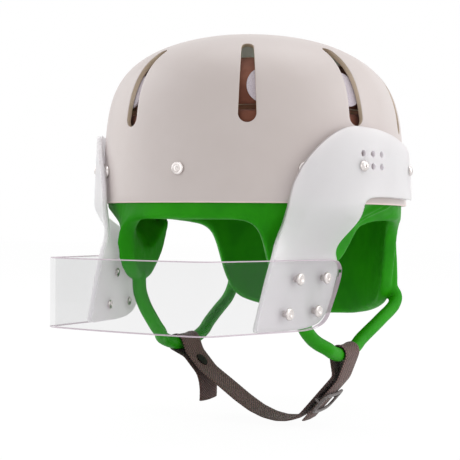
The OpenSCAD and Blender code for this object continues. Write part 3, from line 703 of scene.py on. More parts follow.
class HookTape(Finish):
    """Pale hook tape: small loops in rows."""

    def surface(self, g: Graph) -> dict[str, Any]:
        """Returns the shader's values."""
        loops = g.cells(1500.0)
        return dict(
            Base_Color=self.tone(g, loops.span(0.1, 0.6)), Roughness=self.rough(g, 300.0),
            Normal=g.bump(loops, 0.0003, 0.6), Sheen_Weight=0.3,
        )


class PlatedMetal(Finish):
    """Bright or plain plated metal with fine rubbed marks."""

    def surface(self, g: Graph) -> dict[str, Any]:
        """Returns the shader's values."""
        rubs = g.noise(2400.0, 3.0, 0.6)
        return dict(
            Base_Color=self.tone(g, g.noise(240.0).span(0.35, 0.7)),
            Roughness=rubs.span(0.3, 0.75, self.roughness, self.roughness + 0.15),
            Metallic=1.0, Normal=g.bump(rubs, 0.00003, 0.25),
        )


class MilkyPlate(Finish):
    """Milky plate plastic that lets a little of what lies behind it through, with a faint painted glow for
    the light that it carries.
    """

    tint_z: ClassVar[Point2] = (-0.052, 0.012)

    def surface(self, g: Graph) -> dict[str, Any]:
        """Returns the shader's values."""
        tone = self.tone(g, 1 - g.axis(2).span(*self.tint_z))
        return dict(
            Base_Color=tone, Roughness=g.noise(35.0) * 0.08 + self.roughness,
            Normal=g.bump(g.noise(90.0, 2.0), 0.0002, 0.2), Alpha=0.88, Specular_IOR_Level=0.4,
            Subsurface_Weight=1.0, Subsurface_Scale=0.012, Subsurface_Radius=(1.0, 1.0, 1.0),
            # Painted glow: the plate emits a little of its own colour as if light came through it.
            Emission_Color=tone, Emission_Strength=0.07,
        )


class PolishedEdge(Finish):
    """Sawn and flamed edges of the plates, which carry the light."""

    suffix = "_edge"

    def surface(self, g: Graph) -> dict[str, Any]:
        """Returns the shader's values."""
        return dict(
            Base_Color=self.tone(g, g.noise(120.0)), Roughness=self.rough(g, 600.0),
            Subsurface_Weight=1.0, Subsurface_Scale=0.008, Subsurface_Radius=(1.0, 1.0, 1.0),
        )


class ClearSheet(Finish):
    """Clear sheet with a faint grey tint and a few hairline scratches."""

    def surface(self, g: Graph) -> dict[str, Any]:
        """Returns the shader's values."""
        scratches = g.node("ShaderNodeTexWave", {"bands_direction": "Z"}, {
            "Vector": g.place(), "Scale": 30.0, "Distortion": 14.0, "Detail": 3.0, "Detail Scale": 6.0,
        }, "Fac")
        return dict(
            Base_Color=self.tone(g, g.noise(18.0)), IOR=1.49, Alpha=0.075,
            Roughness=scratches.span(0.97, 1.0) * 0.12 + self.roughness,
        )


class ClearEdge(Finish):
    """Sawn edges of the clear sheet, which look milky and faintly pink."""

    suffix = "_edge"

    def surface(self, g: Graph) -> dict[str, Any]:
        """Returns the shader's values."""
        return dict(Base_Color=self.tone(g, g.noise(90.0)), Roughness=self.rough(g, 600.0), Alpha=0.8)


class RibbedWebbing(Finish):
    """Knitted elastic webbing: ribs along its length, crossed by short stitches, with painted shade in the
    grooves and painted highlights on the crowns.
    """

    rib: ClassVar[float] = 1.6
    stitch: ClassVar[float] = 1.9
    # The dark tone of the painted shade in the grooves between the ribs.
    groove: ClassVar[str] = "1F1211"

    def surface(self, g: Graph) -> dict[str, Any]:
        """Returns the shader's values."""
        place = g.node("ShaderNodeUVMap", {"uv_map": "UVMap"})
        ribs = (g.axis(1, place) * (math.pi / self.rib)).sine()
        run = g.axis(0, place) * (math.tau / self.stitch) + ribs.above(0.0) * math.pi
        height = (abs(ribs) * 0.6 + 0.4) * (run.wave(1.0) * 0.6 + 0.4)
        fleck = g.noise(0.9, 3.0, 0.7, place)
        # Painted shade: the colour falls to the dark groove tone where the ribs are low.
        base = g.blend(height.span(0.2, 0.85), colour(self.groove), colour(self.base))
        # Painted highlight: flecks on the raised crowns are lightened towards the second colour.
        crown_highlight = fleck.span(0.4, 0.7) * height.span(0.4, 0.9) * 0.7
        return dict(
            Base_Color=g.blend(crown_highlight, base, colour(self.shade)), Roughness=fleck * 0.15 + self.roughness,
            Normal=g.bump(height, 0.00045, 0.9), Sheen_Weight=0.2,
        )


class PaintedMetal(Finish):
    """Dark painted or oxidised metal, rubbed brighter in spots."""

    def surface(self, g: Graph) -> dict[str, Any]:
        """Returns the shader's values."""
        wear = g.noise(600.0, 4.0, 0.65).span(0.56, 0.7)
        return dict(
            Base_Color=self.tone(g, wear), Roughness=wear * 0.12 + self.roughness,
            Metallic=wear * 0.5 + 0.3, Normal=g.bump(g.noise(1500.0), 0.00005, 0.3),
            Specular_IOR_Level=0.25,
        )


class DullPlastic(Finish):
    """Matt plastic with a fine grain."""

    def surface(self, g: Graph) -> dict[str, Any]:
        """Returns the shader's values."""
        return dict(
            Base_Color=self.tone(g, g.noise(300.0)), Roughness=self.rough(g, 500.0),
            Normal=g.bump(g.noise(1200.0), 0.00006, 0.4),
        )


class Look(Enum):
    """The finishes of the helmet."""

    SHELL = MouldedPlastic("shell_plastic", "D6CCC9", "D0C5C1", 0.4)
    CUT = CutPlastic("shell_plastic", "D8C9B4", "CDBBA2", 0.5)
    FOAM = DippedFoam("green_foam", "289A05", "1F8904", 0.45)
    PAD = PadFabric("brown_pad", "985E47", "804936", 0.75)
    HOOK = HookTape("hook_dot", "B9AEBB", "D3CAD3", 0.7)
    NICKEL = PlatedMetal("bright_metal", "E3DDDB", "CDC6C3", 0.2)
    STEEL = PlatedMetal("plain_steel", "C4C4C8", "A8A8AE", 0.3)
    PLATE = MilkyPlate("plate_plastic", "F6F2F6", "F6ECF4", 0.3)
    EDGE = PolishedEdge("plate_plastic", "FBF3FA", "F0E6F2", 0.22)
    CLEAR = ClearSheet("clear_plastic", "606068", "585860", 0.04)
    CLEAR_EDGE = ClearEdge("clear_plastic", "DCCBD6", "CFBFCB", 0.3)
    SPACER = DullPlastic("spacer_plastic", "9B7F74", "8A6E64", 0.55)
    # The webbing's second colour is the painted highlight on its rib crowns.
    WEBBING = RibbedWebbing("brown_webbing", "74504A", "A87C6C", 0.72)
    CAP = PaintedMetal("dark_cap", "1A1211", "352826", 0.38)
    SLIDER = PaintedMetal("slider_metal", "6E6766", "958C8A", 0.34)

    def material(self) -> bpy.types.Material:
        """Returns the finish's material, made once.

        Returns:
            The material that every piece of this finish shares.
        """
        made = _MATERIALS.get(self.name)
        if made is None:
            made = _MATERIALS[self.name] = self.value.make()
        return made


_MATERIALS: dict[str, bpy.types.Material] = {}


def dress(obj: bpy.types.Object, look: Look, *others: Look) -> bpy.types.Object:
    """Gives a piece its finishes.

    Args:
        obj: The piece.
        look: The finish of its faces.
        others: Finishes that some faces are given later.

    Returns:
        The same piece.
    """
    obj.data.materials.clear()
    for each in (look, *others):
        obj.data.materials.append(each.material())
    return obj


def fit(obj: bpy.types.Object, body: str, *nodes: str) -> bpy.types.Object:
    """Rides a finished piece on a body in place of CAD nodes, and reports it.

    Args:
        obj: The piece.
        body: The body's name.
        nodes: The nodes that it stands for.

    Returns:
        The same piece.
    """
    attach(obj, body)
    if nodes:
        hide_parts(*nodes)
    LOG.info("%s: %d faces", obj.name, len(obj.data.polygons))
    return obj


@dataclass
class HardShell:
    """The moulded shell with its rounded rim and eight routed slots."""

    slot_angles: tuple[float, ...] = (26.7, 70.6, 112.0, 155.0)
    slot_z0: float = 47.8
    slot_z1: float = 98.3
    slot_w0: float = 11.0
    slot_w1: float = 7.4
    slot_tilt: float = 24.0
    slot_reach: Point2 = (60.0, 190.0)
    found_within: float = 1e-8
    edge_r: float = 0.45
    rim_r: float = 0.9
    rim_steps: int = 4
    cols: int = 160
    rows: int = 44
    crowding: float = 2.2
    seam: float = 0.7
    arc_steps: int = 14
    side_steps: int = 16

    def section(self) -> list[Point2]:
        """Returns (height, inset) points from the outer crown round the rim to the inner crown.

        Returns:
            The points, without the crown's two middle ones.
        """
        heights = [FORM.height * (1 - (k / self.rows) ** self.crowding) for k in range(self.rows)]
        outer = [(z, 0.0) for z in heights if z > 2 * self.rim_r]
        wall, r = FORM.wall, self.rim_r
        angles = [math.pi / 2 * k / self.rim_steps for k in range(self.rim_steps + 1)]
        turn = [(r - r * math.sin(a), r - r * math.cos(a)) for a in angles]
        back = [(z, wall - inset) for z, inset in turn][::-1]
        inner = [(z * (FORM.height - wall) / FORM.height, wall) for z, _ in outer][::-1]
        return outer + turn + back + inner

    def slot_outline(self, t: float) -> list[tuple[float, float, float, float]]:
        """Returns a slot's outline in its own plane: sideways, along, and the outward direction.

        Args:
            t: The polar angle.

        Returns:
            For each point its place sideways and along, and its outward direction's two parts.
        """
        tilt = math.radians(self.slot_tilt)

        def end(z: float) -> float:
            """Returns how far along the slot's plane a height on the skin lies."""
            return z * math.cos(tilt) - FORM.radius(t, z, 0) * math.sin(tilt)

        low_r, high_r = self.slot_w0 / 2, self.slot_w1 / 2
        low, high = end(self.slot_z0) + low_r, end(self.slot_z1) - high_r
        lean = math.asin((low_r - high_r) / (high - low))
        arcs = ((low, low_r, math.pi - lean, math.tau + lean), (high, high_r, lean, math.pi - lean))
        points = []
        for (middle, r, start, stop), (next_middle, next_r, next_start, _) in zip(arcs, arcs[::-1]):
            for k in range(self.arc_steps + 1):
                a = mix(start, stop, k / self.arc_steps)
                points.append((r * math.cos(a), middle + r * math.sin(a), math.cos(a), math.sin(a)))
            ax, ay, nx, ny = points[-1]
            bx, by = next_r * math.cos(next_start), next_middle + next_r * math.sin(next_start)
            for k in range(1, self.side_steps):
                share = k / self.side_steps
                points.append((mix(ax, bx, share), mix(ay, by, share), nx, ny))
        return points

    def on_ray(self, t: float, side: float, rise: float, reach: float) -> tuple[float, float, float]:
        """Returns polar angle, radius and height at a reach along the line through (side, rise).

        Args:
            t: The polar angle.
            side: The line's place sideways.
            rise: The line's place along the slot.
            reach: How far out along the line.

        Returns:
            The polar angle, the radius and the height.
        """
        tilt = math.radians(self.slot_tilt)
        radial = reach * math.cos(tilt) - rise * math.sin(tilt)
        z = reach * math.sin(tilt) + rise * math.cos(tilt)
        return t + math.degrees(math.atan2(side, radial)), math.hypot(radial, side), z

    def on_layer(self, t: float, side: float, rise: float, inset: float) -> Vector:
        """Returns where the slot's cutting line through (side, rise) meets a layer of the shell.

        Args:
            t: The polar angle.
            side: The line's place sideways.
            rise: The line's place along the slot.
            inset: The layer's depth inside the skin.

        Returns:
            The point in millimetres.
        """
        near, far = self.slot_reach
        while far - near > self.found_within:
            reach = (near + far) / 2
            angle, r, z = self.on_ray(t, side, rise, reach)
            if z < FORM.height - inset and r < FORM.radius(angle, z, inset):
                near = reach
            else:
                far = reach
        return polar(*self.on_ray(t, side, rise, near))

    def slot_tool(self, t: float) -> bmesh.types.BMesh:
        """Returns the cutter of one slot, flared at both skins to round the slot's edges.

        Args:
            t: The slot's polar angle.

        Returns:
            The closed cutter.
        """
        outline = self.slot_outline(t)
        r, wall = self.edge_r, FORM.wall
        skins = [(-0.4, r), (0.0, r), (0.15 * r, 0.47 * r), (0.5 * r, 0.13 * r), (r, 0.0)]
        layers = skins + [(wall - depth, grow) for depth, grow in skins[::-1]]
        last = len(layers) + 1
        count = len(outline)

        def place(u: float, v: float) -> Vector:
            """Returns the point of one outline point on one layer.

            Args:
                u: The share along the grid.
                v: The share across the grid.

            Returns:
                The point in millimetres.
            """
            side, rise, nx, ny = outline[round(u * count) % count]
            layer = round(v * last)
            if layer in (0, last):
                reach = self.slot_reach[int(layer == 0)]
                return polar(*self.on_ray(t, side + r * nx, rise + r * ny, reach))
            inset, grow = layers[layer - 1]
            return self.on_layer(t, side + grow * nx, rise + grow * ny, inset)

        return Mesh.close(Mesh.sheet(count, last, place))

    def build(self) -> None:
        """Makes the shell, cuts its slots and gives the cut walls their own finish."""
        section = self.section()
        rows = len(section) + 1

        def place(u: float, v: float) -> Vector:
            """Returns a point of the shell's two skins and rim.

            Args:
                u: The share along the grid.
                v: The share across the grid.

            Returns:
                The point in millimetres.
            """
            row = round(v * rows)
            if row in (0, rows):
                return Vector((0, 0, FORM.height - (0 if row == 0 else FORM.wall)))
            z, inset = section[row - 1]
            return FORM.skin(360 * u + self.seam, z, inset)

        shell = Mesh.object("moulded_shell", Mesh.close(Mesh.sheet(self.cols, rows, place)))
        tools = [(self.slot_tool(side * t), Matrix()) for t in self.slot_angles for side in (-1, 1)]
        Mesh.carve(shell, Mesh.gather(tools), "DIFFERENCE", crossing=True)
        dress(shell, Look.SHELL, Look.CUT)
        for face in shell.data.polygons:
            x, y, z = face.center / MM
            t = math.degrees(math.atan2(x, -y))
            r = math.hypot(x, y)
            deep = FORM.radius(t, z, FORM.wall - 0.3) < r < FORM.radius(t, z, 0.3)
            sideways = abs(face.normal.normalized().dot(FORM.stand(t, z).col[2].xyz)) < 0.6
            face.material_index = int(z > self.slot_z0 / 2 and deep and sideways)
        Mesh.shade(shell, 24.0)
        fit(shell, "helmet", "hard_shell")


@dataclass
class FoamLiner:
    """The dipped foam: brow band, temple pads, ear arches, nape pad and the two chin loops."""

    glue_gap: float = 0.3
    foam_t: float = 9.5
    band_z1: float = 44.0
    edge_r: float = 2.6
    edge_rounds: int = 5
    brow_drop: float = 10.0
    temple_drop: float = 51.0
    ear_drop: float = 10.0
    nape_drop: float = 65.0
    nape_mid_drop: float = 85.0
    temple_half_gap: float = 64.9
    temple_toe: float = 0.27
    temple_t: float = 8.5
    nape_lean: float = 0.04
    loop_front_y: float = -46.0
    loop_rear_t: float = 149.0
    voxel: float = 1.25

    def __post_init__(self) -> None:
        """Works out the lower edge from face to nape, in steps of half a degree."""
        brow, temple, ear = -self.brow_drop, -self.temple_drop, -self.ear_drop
        nape, low = -self.nape_drop, -self.nape_mid_drop
        corners = [
            (0, brow), (22, brow), (27, brow - 1), (30, brow - 3.5), (32, brow - 8), (33.5, temple / 2),
            (35, temple + 16), (38, temple + 8), (43, temple + 2.5), (49, temple), (57, temple),
            (65, temple + 2), (72, temple + 6), (80, temple + 11), (87, temple + 16.5), (92, temple + 23),
            (96, temple + 30), (100, ear - 5), (105, ear - 1), (111, ear), (119, ear - 0.5),
            (128, ear - 2), (135, ear - 4), (139.3, ear - 8.5), (141.4, ear - 16), (142.8, nape + 30),
            (144.6, nape + 16), (146.4, nape + 7), (148.3, nape - 1), (151.5, nape - 7), (156, low + 9),
            (162, low + 5), (170, low + 1.5), (180, low),
        ]
        last = 360
        fine = [along(corners, k / 2) for k in range(last + 1)]
        for _ in range(self.edge_rounds):
            fine = [
                z if k in (0, last) else z / 2 + (fine[k - 1] + fine[k + 1]) / 4
                for k, z in enumerate(fine)
            ]
        self.edge = fine
        self.out = FORM.wall + self.glue_gap
        self.inner = self.out + self.foam_t
        self.temple_stretch = math.hypot(1, self.temple_toe)

    def low_z(self, t: float) -> float:
        """Returns the height of the lower edge at polar angle t.

        Args:
            t: The polar angle.

        Returns:
            The height in millimetres.
        """
        side = min(t, 360 - t) * 2
        k = min(len(self.edge) - 2, int(side))
        return mix(self.edge[k], self.edge[k + 1], side - k)

    def radius(self, t: float, z: float, share: float) -> float:
        """Returns the radius at a share of the thickness, 0 outside and 1 inside.

        Under the rim the oval of the shell gives way to the flat temple pad between the face
        and the ear arch, early at the rear, where the pad runs up to the arch.

        Args:
            t: The polar angle.
            z: The height.
            share: The share of the thickness.

        Returns:
            The radius in millimetres.
        """
        side = min(t, 360 - t)
        inset = mix(self.out, self.inner, share)
        if z >= 0:
            return FORM.radius(t, z, inset)
        pad_x = self.temple_half_gap + (1 - share) * self.temple_t * self.temple_stretch
        oval = FORM.radius(side, 0, inset) + self.nape_lean * z
        rear = smooth((side - 60) / 30)
        fall = smooth((-z - mix(6, 0, rear)) / mix(20, 11, rear))
        weight = fall * smooth((116 - side) / 18) * smooth((side - 20) / 10)
        if weight == 0:
            return oval
        a = math.radians(side)
        return mix(oval, pad_x / (math.sin(a) + self.temple_toe * math.cos(a)), weight)

    def columns(self) -> list[float]:
        """Returns the polar angles of the columns, closer where the lower edge is steep.

        Returns:
            The angles, once round the head from the face.
        """
        reach, widest = 0.4, 2.4
        half = [0.0]
        while half[-1] < 180:
            t = half[-1]
            steep = abs(self.low_z(t + reach) - self.low_z(max(0.0, t - reach))) / (2 * reach)
            half.append(min(180.0, t + widest / (1 + 0.55 * steep)))
        return half + [360 - t for t in half[-2:0:-1]]

    def section(self, t: float) -> list[Vector]:
        """Returns the loop round the foam's thickness at one column.

        Args:
            t: The column's polar angle.

        Returns:
            The points, up the outside and down the inside.
        """
        low, r = self.low_z(t), self.edge_r
        rows = (0, 0.08, 0.2, 0.35, 0.5, 0.65, 0.8, 0.92, 1)
        walls = [mix(low + r, self.band_z1 - 1.2, s) for s in rows]

        def at(z: float, share: float) -> Vector:
            """Returns the point at a height and share of the thickness."""
            return polar(t, self.radius(t, z, share), z)

        under = [(low + 0.25 * r, 0.16), (low, 0.36), (low, 0.64), (low + 0.25 * r, 0.84)]
        loop = [at(z, 0) for z in walls] + [at(self.band_z1, 0.14), at(self.band_z1, 0.86)]
        return loop + [at(z, 1) for z in reversed(walls)] + [at(z, s) for z, s in reversed(under)]

    def loop_route(self) -> list[tuple[Vector, float]]:
        """Returns the left loop's centre line and radius from the temple to the nape.

        Returns:
            Points with the loop's radius at each.
        """
        half_w, arc_r, r = PLACES.loop_half_w, PLACES.loop_arc_r, PLACES.loop_d / 2
        front_y, top_z = self.loop_front_y, -self.temple_drop
        middle = 0.42 * self.temple_t * self.temple_stretch
        front_x = self.temple_half_gap + self.temple_toe * front_y + middle
        front = [
            (0, front_y, top_z + 6), (0, front_y, top_z - 0.4), (0, -45.4, -57), (0, -42.5, -63),
            (0, -37.5, -70), (0.03, -31, -76.5), (0.13, -23.5, -83), (0.37, -15, -88.5),
        ]
        route = [(Vector((mix(front_x, half_w, s), y, z)), r) for s, y, z in front]
        for a in range(-24, 25, 6):
            y, z = arc_r * math.sin(math.radians(a)), arc_r * (1 - math.cos(math.radians(a)))
            route.append((Vector((half_w, PLACES.loop_low_y + y, PLACES.loop_low_z + z)), r))
        tail, t = [], self.loop_rear_t
        for z in range(-60, -19, 8):
            thin = r * mix(0.95, 0.5, (z + 60) / 40)
            tail.append((polar(t, self.radius(t, z, 0) + 0.55 * thin, z), thin))
        rear = [
            (0.37, 64, -89.6), (0.83, 77, -84.5), (1.2, 90, -79.5),
            (1.5, 101, -75.5), (1.65, 108.5, -71.5), (1.56, 113, -66),
        ]
        route += [(Vector((mix(half_w, tail[0][0].x, s), y, z)), r) for s, y, z in rear]
        return route + tail

    def loop_tube(self) -> bmesh.types.BMesh:
        """Returns the left loop as a round tube with closed ends.

        Returns:
            The closed mesh.
        """
        route = self.loop_route()
        curve = bpy.data.curves.new("loop", "CURVE")
        curve.dimensions = "3D"
        curve.bevel_depth = 1.0
        curve.bevel_resolution = 5
        curve.use_fill_caps = True
        spline = curve.splines.new("BEZIER")
        spline.bezier_points.add(len(route) - 1)
        for bezier, (point, radius) in zip(spline.bezier_points, route):
            bezier.co = point * MM
            bezier.radius = radius * MM
            bezier.handle_left_type = bezier.handle_right_type = "AUTO"
        spline.resolution_u = 5
        holder = bpy.data.objects.new("loop", curve)
        bpy.context.scene.collection.objects.link(holder)
        bpy.context.view_layer.update()
        graph = bpy.context.evaluated_depsgraph_get()
        mesh = bpy.data.meshes.new_from_object(holder.evaluated_get(graph), depsgraph=graph)
        bm = bmesh.new()
        bm.from_mesh(mesh)
        bpy.data.objects.remove(holder)
        bpy.data.curves.remove(curve)
        bpy.data.meshes.remove(mesh)
        return Mesh.close(bm)

    def build(self) -> None:
        """Makes the foam as one dipped skin: the band, the pads and both loops run together."""
        columns = self.columns()
        sections = [self.section(t) for t in columns]
        count, around = len(columns), len(sections[0])

        def place(u: float, v: float) -> Vector:
            """Returns a point of the foam's surface.

            Args:
                u: The share along the grid.
                v: The share across the grid.

            Returns:
                The point in millimetres.
            """
            return sections[round(u * count) % count][round(v * around) % around]

        band = Mesh.close(Mesh.sheet(count, around, place))
        loop = self.loop_tube()
        foam = Mesh.object("dipped_liner", Mesh.gather([
            (band, Matrix()), (Mesh.mirrored(loop), Matrix()), (loop, Matrix()),
        ]))
        skin = foam.modifiers.new("skin", "REMESH")
        skin.mode = "VOXEL"
        skin.voxel_size = self.voxel * MM
        skin.use_smooth_shade = True
        ease = foam.modifiers.new("ease", "SMOOTH")
        ease.factor = 0.5
        ease.iterations = 6
        Mesh.settle(foam)
        dress(foam, Look.FOAM)
        Mesh.shade(foam, 180.0)
        fit(foam, "helmet", "foam_liner", "left_chin_loop", "right_chin_loop")


@dataclass
class CrownPadding:
    """The brown ring pad, the four crown pads and the hook dots behind them."""

    pad_out: float = 5.6
    pad_t: float = 7.5
    ring_z0: float = 44.4
    ring_h: float = 12.0
    crown_z0: float = 56.8
    crown_z1: float = 92.0
    dot_t: float = 1.6
    dot_d: float = 22.0
    dot_z: float = 70.8
    dot_gap: float = 0.3
    margin: float = 0.9
    puff_voxel: float = 2.6
    puff_cap: float = 1.1
    puff_frames: int = 16
    ring_seams: int = 8
    spans: tuple[tuple[str, float, float], ...] = (
        ("front", -48.0, 48.0), ("back", 134.0, 226.0), ("left", 51.0, 131.0), ("right", 229.0, 309.0),
    )
    dot_angles: tuple[float, ...] = (-33.5, 33.5, 70.0, 112.0, 150.0, 210.0, 248.0, 290.0)

    def puff(self, obj: bpy.types.Object) -> None:
        """Blows a pad up as cloth and holds every point close to its start.

        Args:
            obj: The pad, a closed mesh a little smaller than its place.
        """
        skin = obj.modifiers.new("skin", "REMESH")
        skin.mode = "VOXEL"
        skin.voxel_size = self.puff_voxel * MM
        Mesh.settle(obj)
        rest = [v.co.copy() for v in obj.data.vertices]
        cloth = obj.modifiers.new("cloth", "CLOTH")
        cloth.settings.use_pressure = True
        cloth.settings.uniform_pressure_force = 4.0
        cloth.settings.effector_weights.gravity = 0.0
        cloth.settings.tension_stiffness = 12.0
        cloth.collision_settings.use_collision = False
        cloth.point_cache.frame_start = 1
        cloth.point_cache.frame_end = self.puff_frames
        scene = bpy.context.scene
        for frame in range(1, self.puff_frames + 1):
            scene.frame_set(frame)
        Mesh.settle(obj)
        scene.frame_set(1)
        cap = self.puff_cap * MM
        for vert, start in zip(obj.data.vertices, rest):
            move = vert.co - start
            if move.length > cap:
                vert.co = start + move.normalized() * cap

    def crown_pad(self, name: str, start: float, end: float) -> None:
        """Makes one pad over a span: crowned faces and drawn-in sides.

        Args:
            name: The pad's place on the head.
            start: The polar angle of one end.
            end: The polar angle of the other end.
        """
        low, high = self.crown_z0 + self.margin, self.crown_z1 - self.margin

        def place(u: float, v: float) -> Vector:
            """Returns a point of the pad, round its section as v runs.

            Args:
                u: The share along the grid.
                v: The share across the grid.

            Returns:
                The point in millimetres.
            """
            a = math.tau * v
            across, depth = boxed(math.cos(a), 0.55), boxed(math.sin(a), 0.8)
            side = 2 * u - 1
            fall = (1 - abs(side) ** 8) ** 0.5
            drawn = 1 - 0.05 * (1 - side * side) * abs(across)
            z = mix(low, high, 0.5 + 0.5 * across * (0.94 + 0.06 * fall))
            full = (self.pad_t / 2 - self.margin) * (0.25 + 0.75 * fall) * drawn
            t = mix(start + 1, end - 1, u)
            return FORM.skin(t, z, self.pad_out + self.pad_t / 2 + depth * full)

        pad = Mesh.object(f"{name}_pad", Mesh.close(Mesh.sheet(72, 40, place)))
        self.puff(pad)
        finer = pad.modifiers.new("finer", "SUBSURF")
        finer.levels = finer.render_levels = 1
        Mesh.settle(pad)
        dress(pad, Look.PAD)
        Mesh.shade(pad, 180.0)
        fit(pad, "helmet", f"{name}_crown_pad")

    def ring_pad(self) -> None:
        """Makes the pad that runs right round, with its face drawn in at eight seams."""
        def place(u: float, v: float) -> Vector:
            """Returns a point of the ring's section at a share of the way round.

            Args:
                u: The share along the grid.
                v: The share across the grid.

            Returns:
                The point in millimetres.
            """
            a = math.tau * v
            across, depth = boxed(math.cos(a), 0.6), boxed(math.sin(a), 0.7)
            seam = 1 - 0.35 * math.exp(-(((u * self.ring_seams) % 1 - 0.5) / 0.02) ** 2)
            z = self.ring_z0 + self.ring_h * (0.5 + 0.49 * across)
            return FORM.skin(360 * u, z, self.pad_out + self.pad_t / 2 * (1 + 0.96 * depth * seam))

        ring = Mesh.object("ring_cushion", Mesh.close(Mesh.sheet(384, 28, place)))
        dress(ring, Look.PAD)
        Mesh.shade(ring, 180.0)
        fit(ring, "helmet", "ring_pad")

    def hook_dots(self) -> None:
        """Makes the hook dots: thin discs that follow the shell's inner face."""
        r, thick, ease = self.dot_d / 2, self.dot_t, 0.3
        profile = [(0, 0), (r - ease, 0), (r, -ease), (r, -thick + ease), (r - ease, -thick), (0, -thick)]
        parts = []
        for t in self.dot_angles:
            disc = Mesh.turned(profile, 40)
            spokes = [e for e in disc.edges if e.calc_length() > r / 2 * MM]
            bmesh.ops.subdivide_edges(disc, edges=spokes, cuts=3, use_grid_fill=True)
            around = FORM.radius(t, self.dot_z, 0)
            for vert in disc.verts:
                x, y, depth = vert.co / MM
                inset = FORM.wall + self.dot_gap - depth
                vert.co = FORM.skin(t + math.degrees(x / around), self.dot_z + y, inset) * MM
            bmesh.ops.recalc_face_normals(disc, faces=disc.faces)
            parts.append((disc, Matrix()))
        dots = Mesh.object("hook_discs", Mesh.gather(parts), 30.0)
        fit(dress(dots, Look.HOOK), "helmet", "hook_dots")

    def build(self) -> None:
        """Makes every pad and the dots."""
        self.ring_pad()
        for name, start, end in self.spans:
            self.crown_pad(name, start, end)
        self.hook_dots()


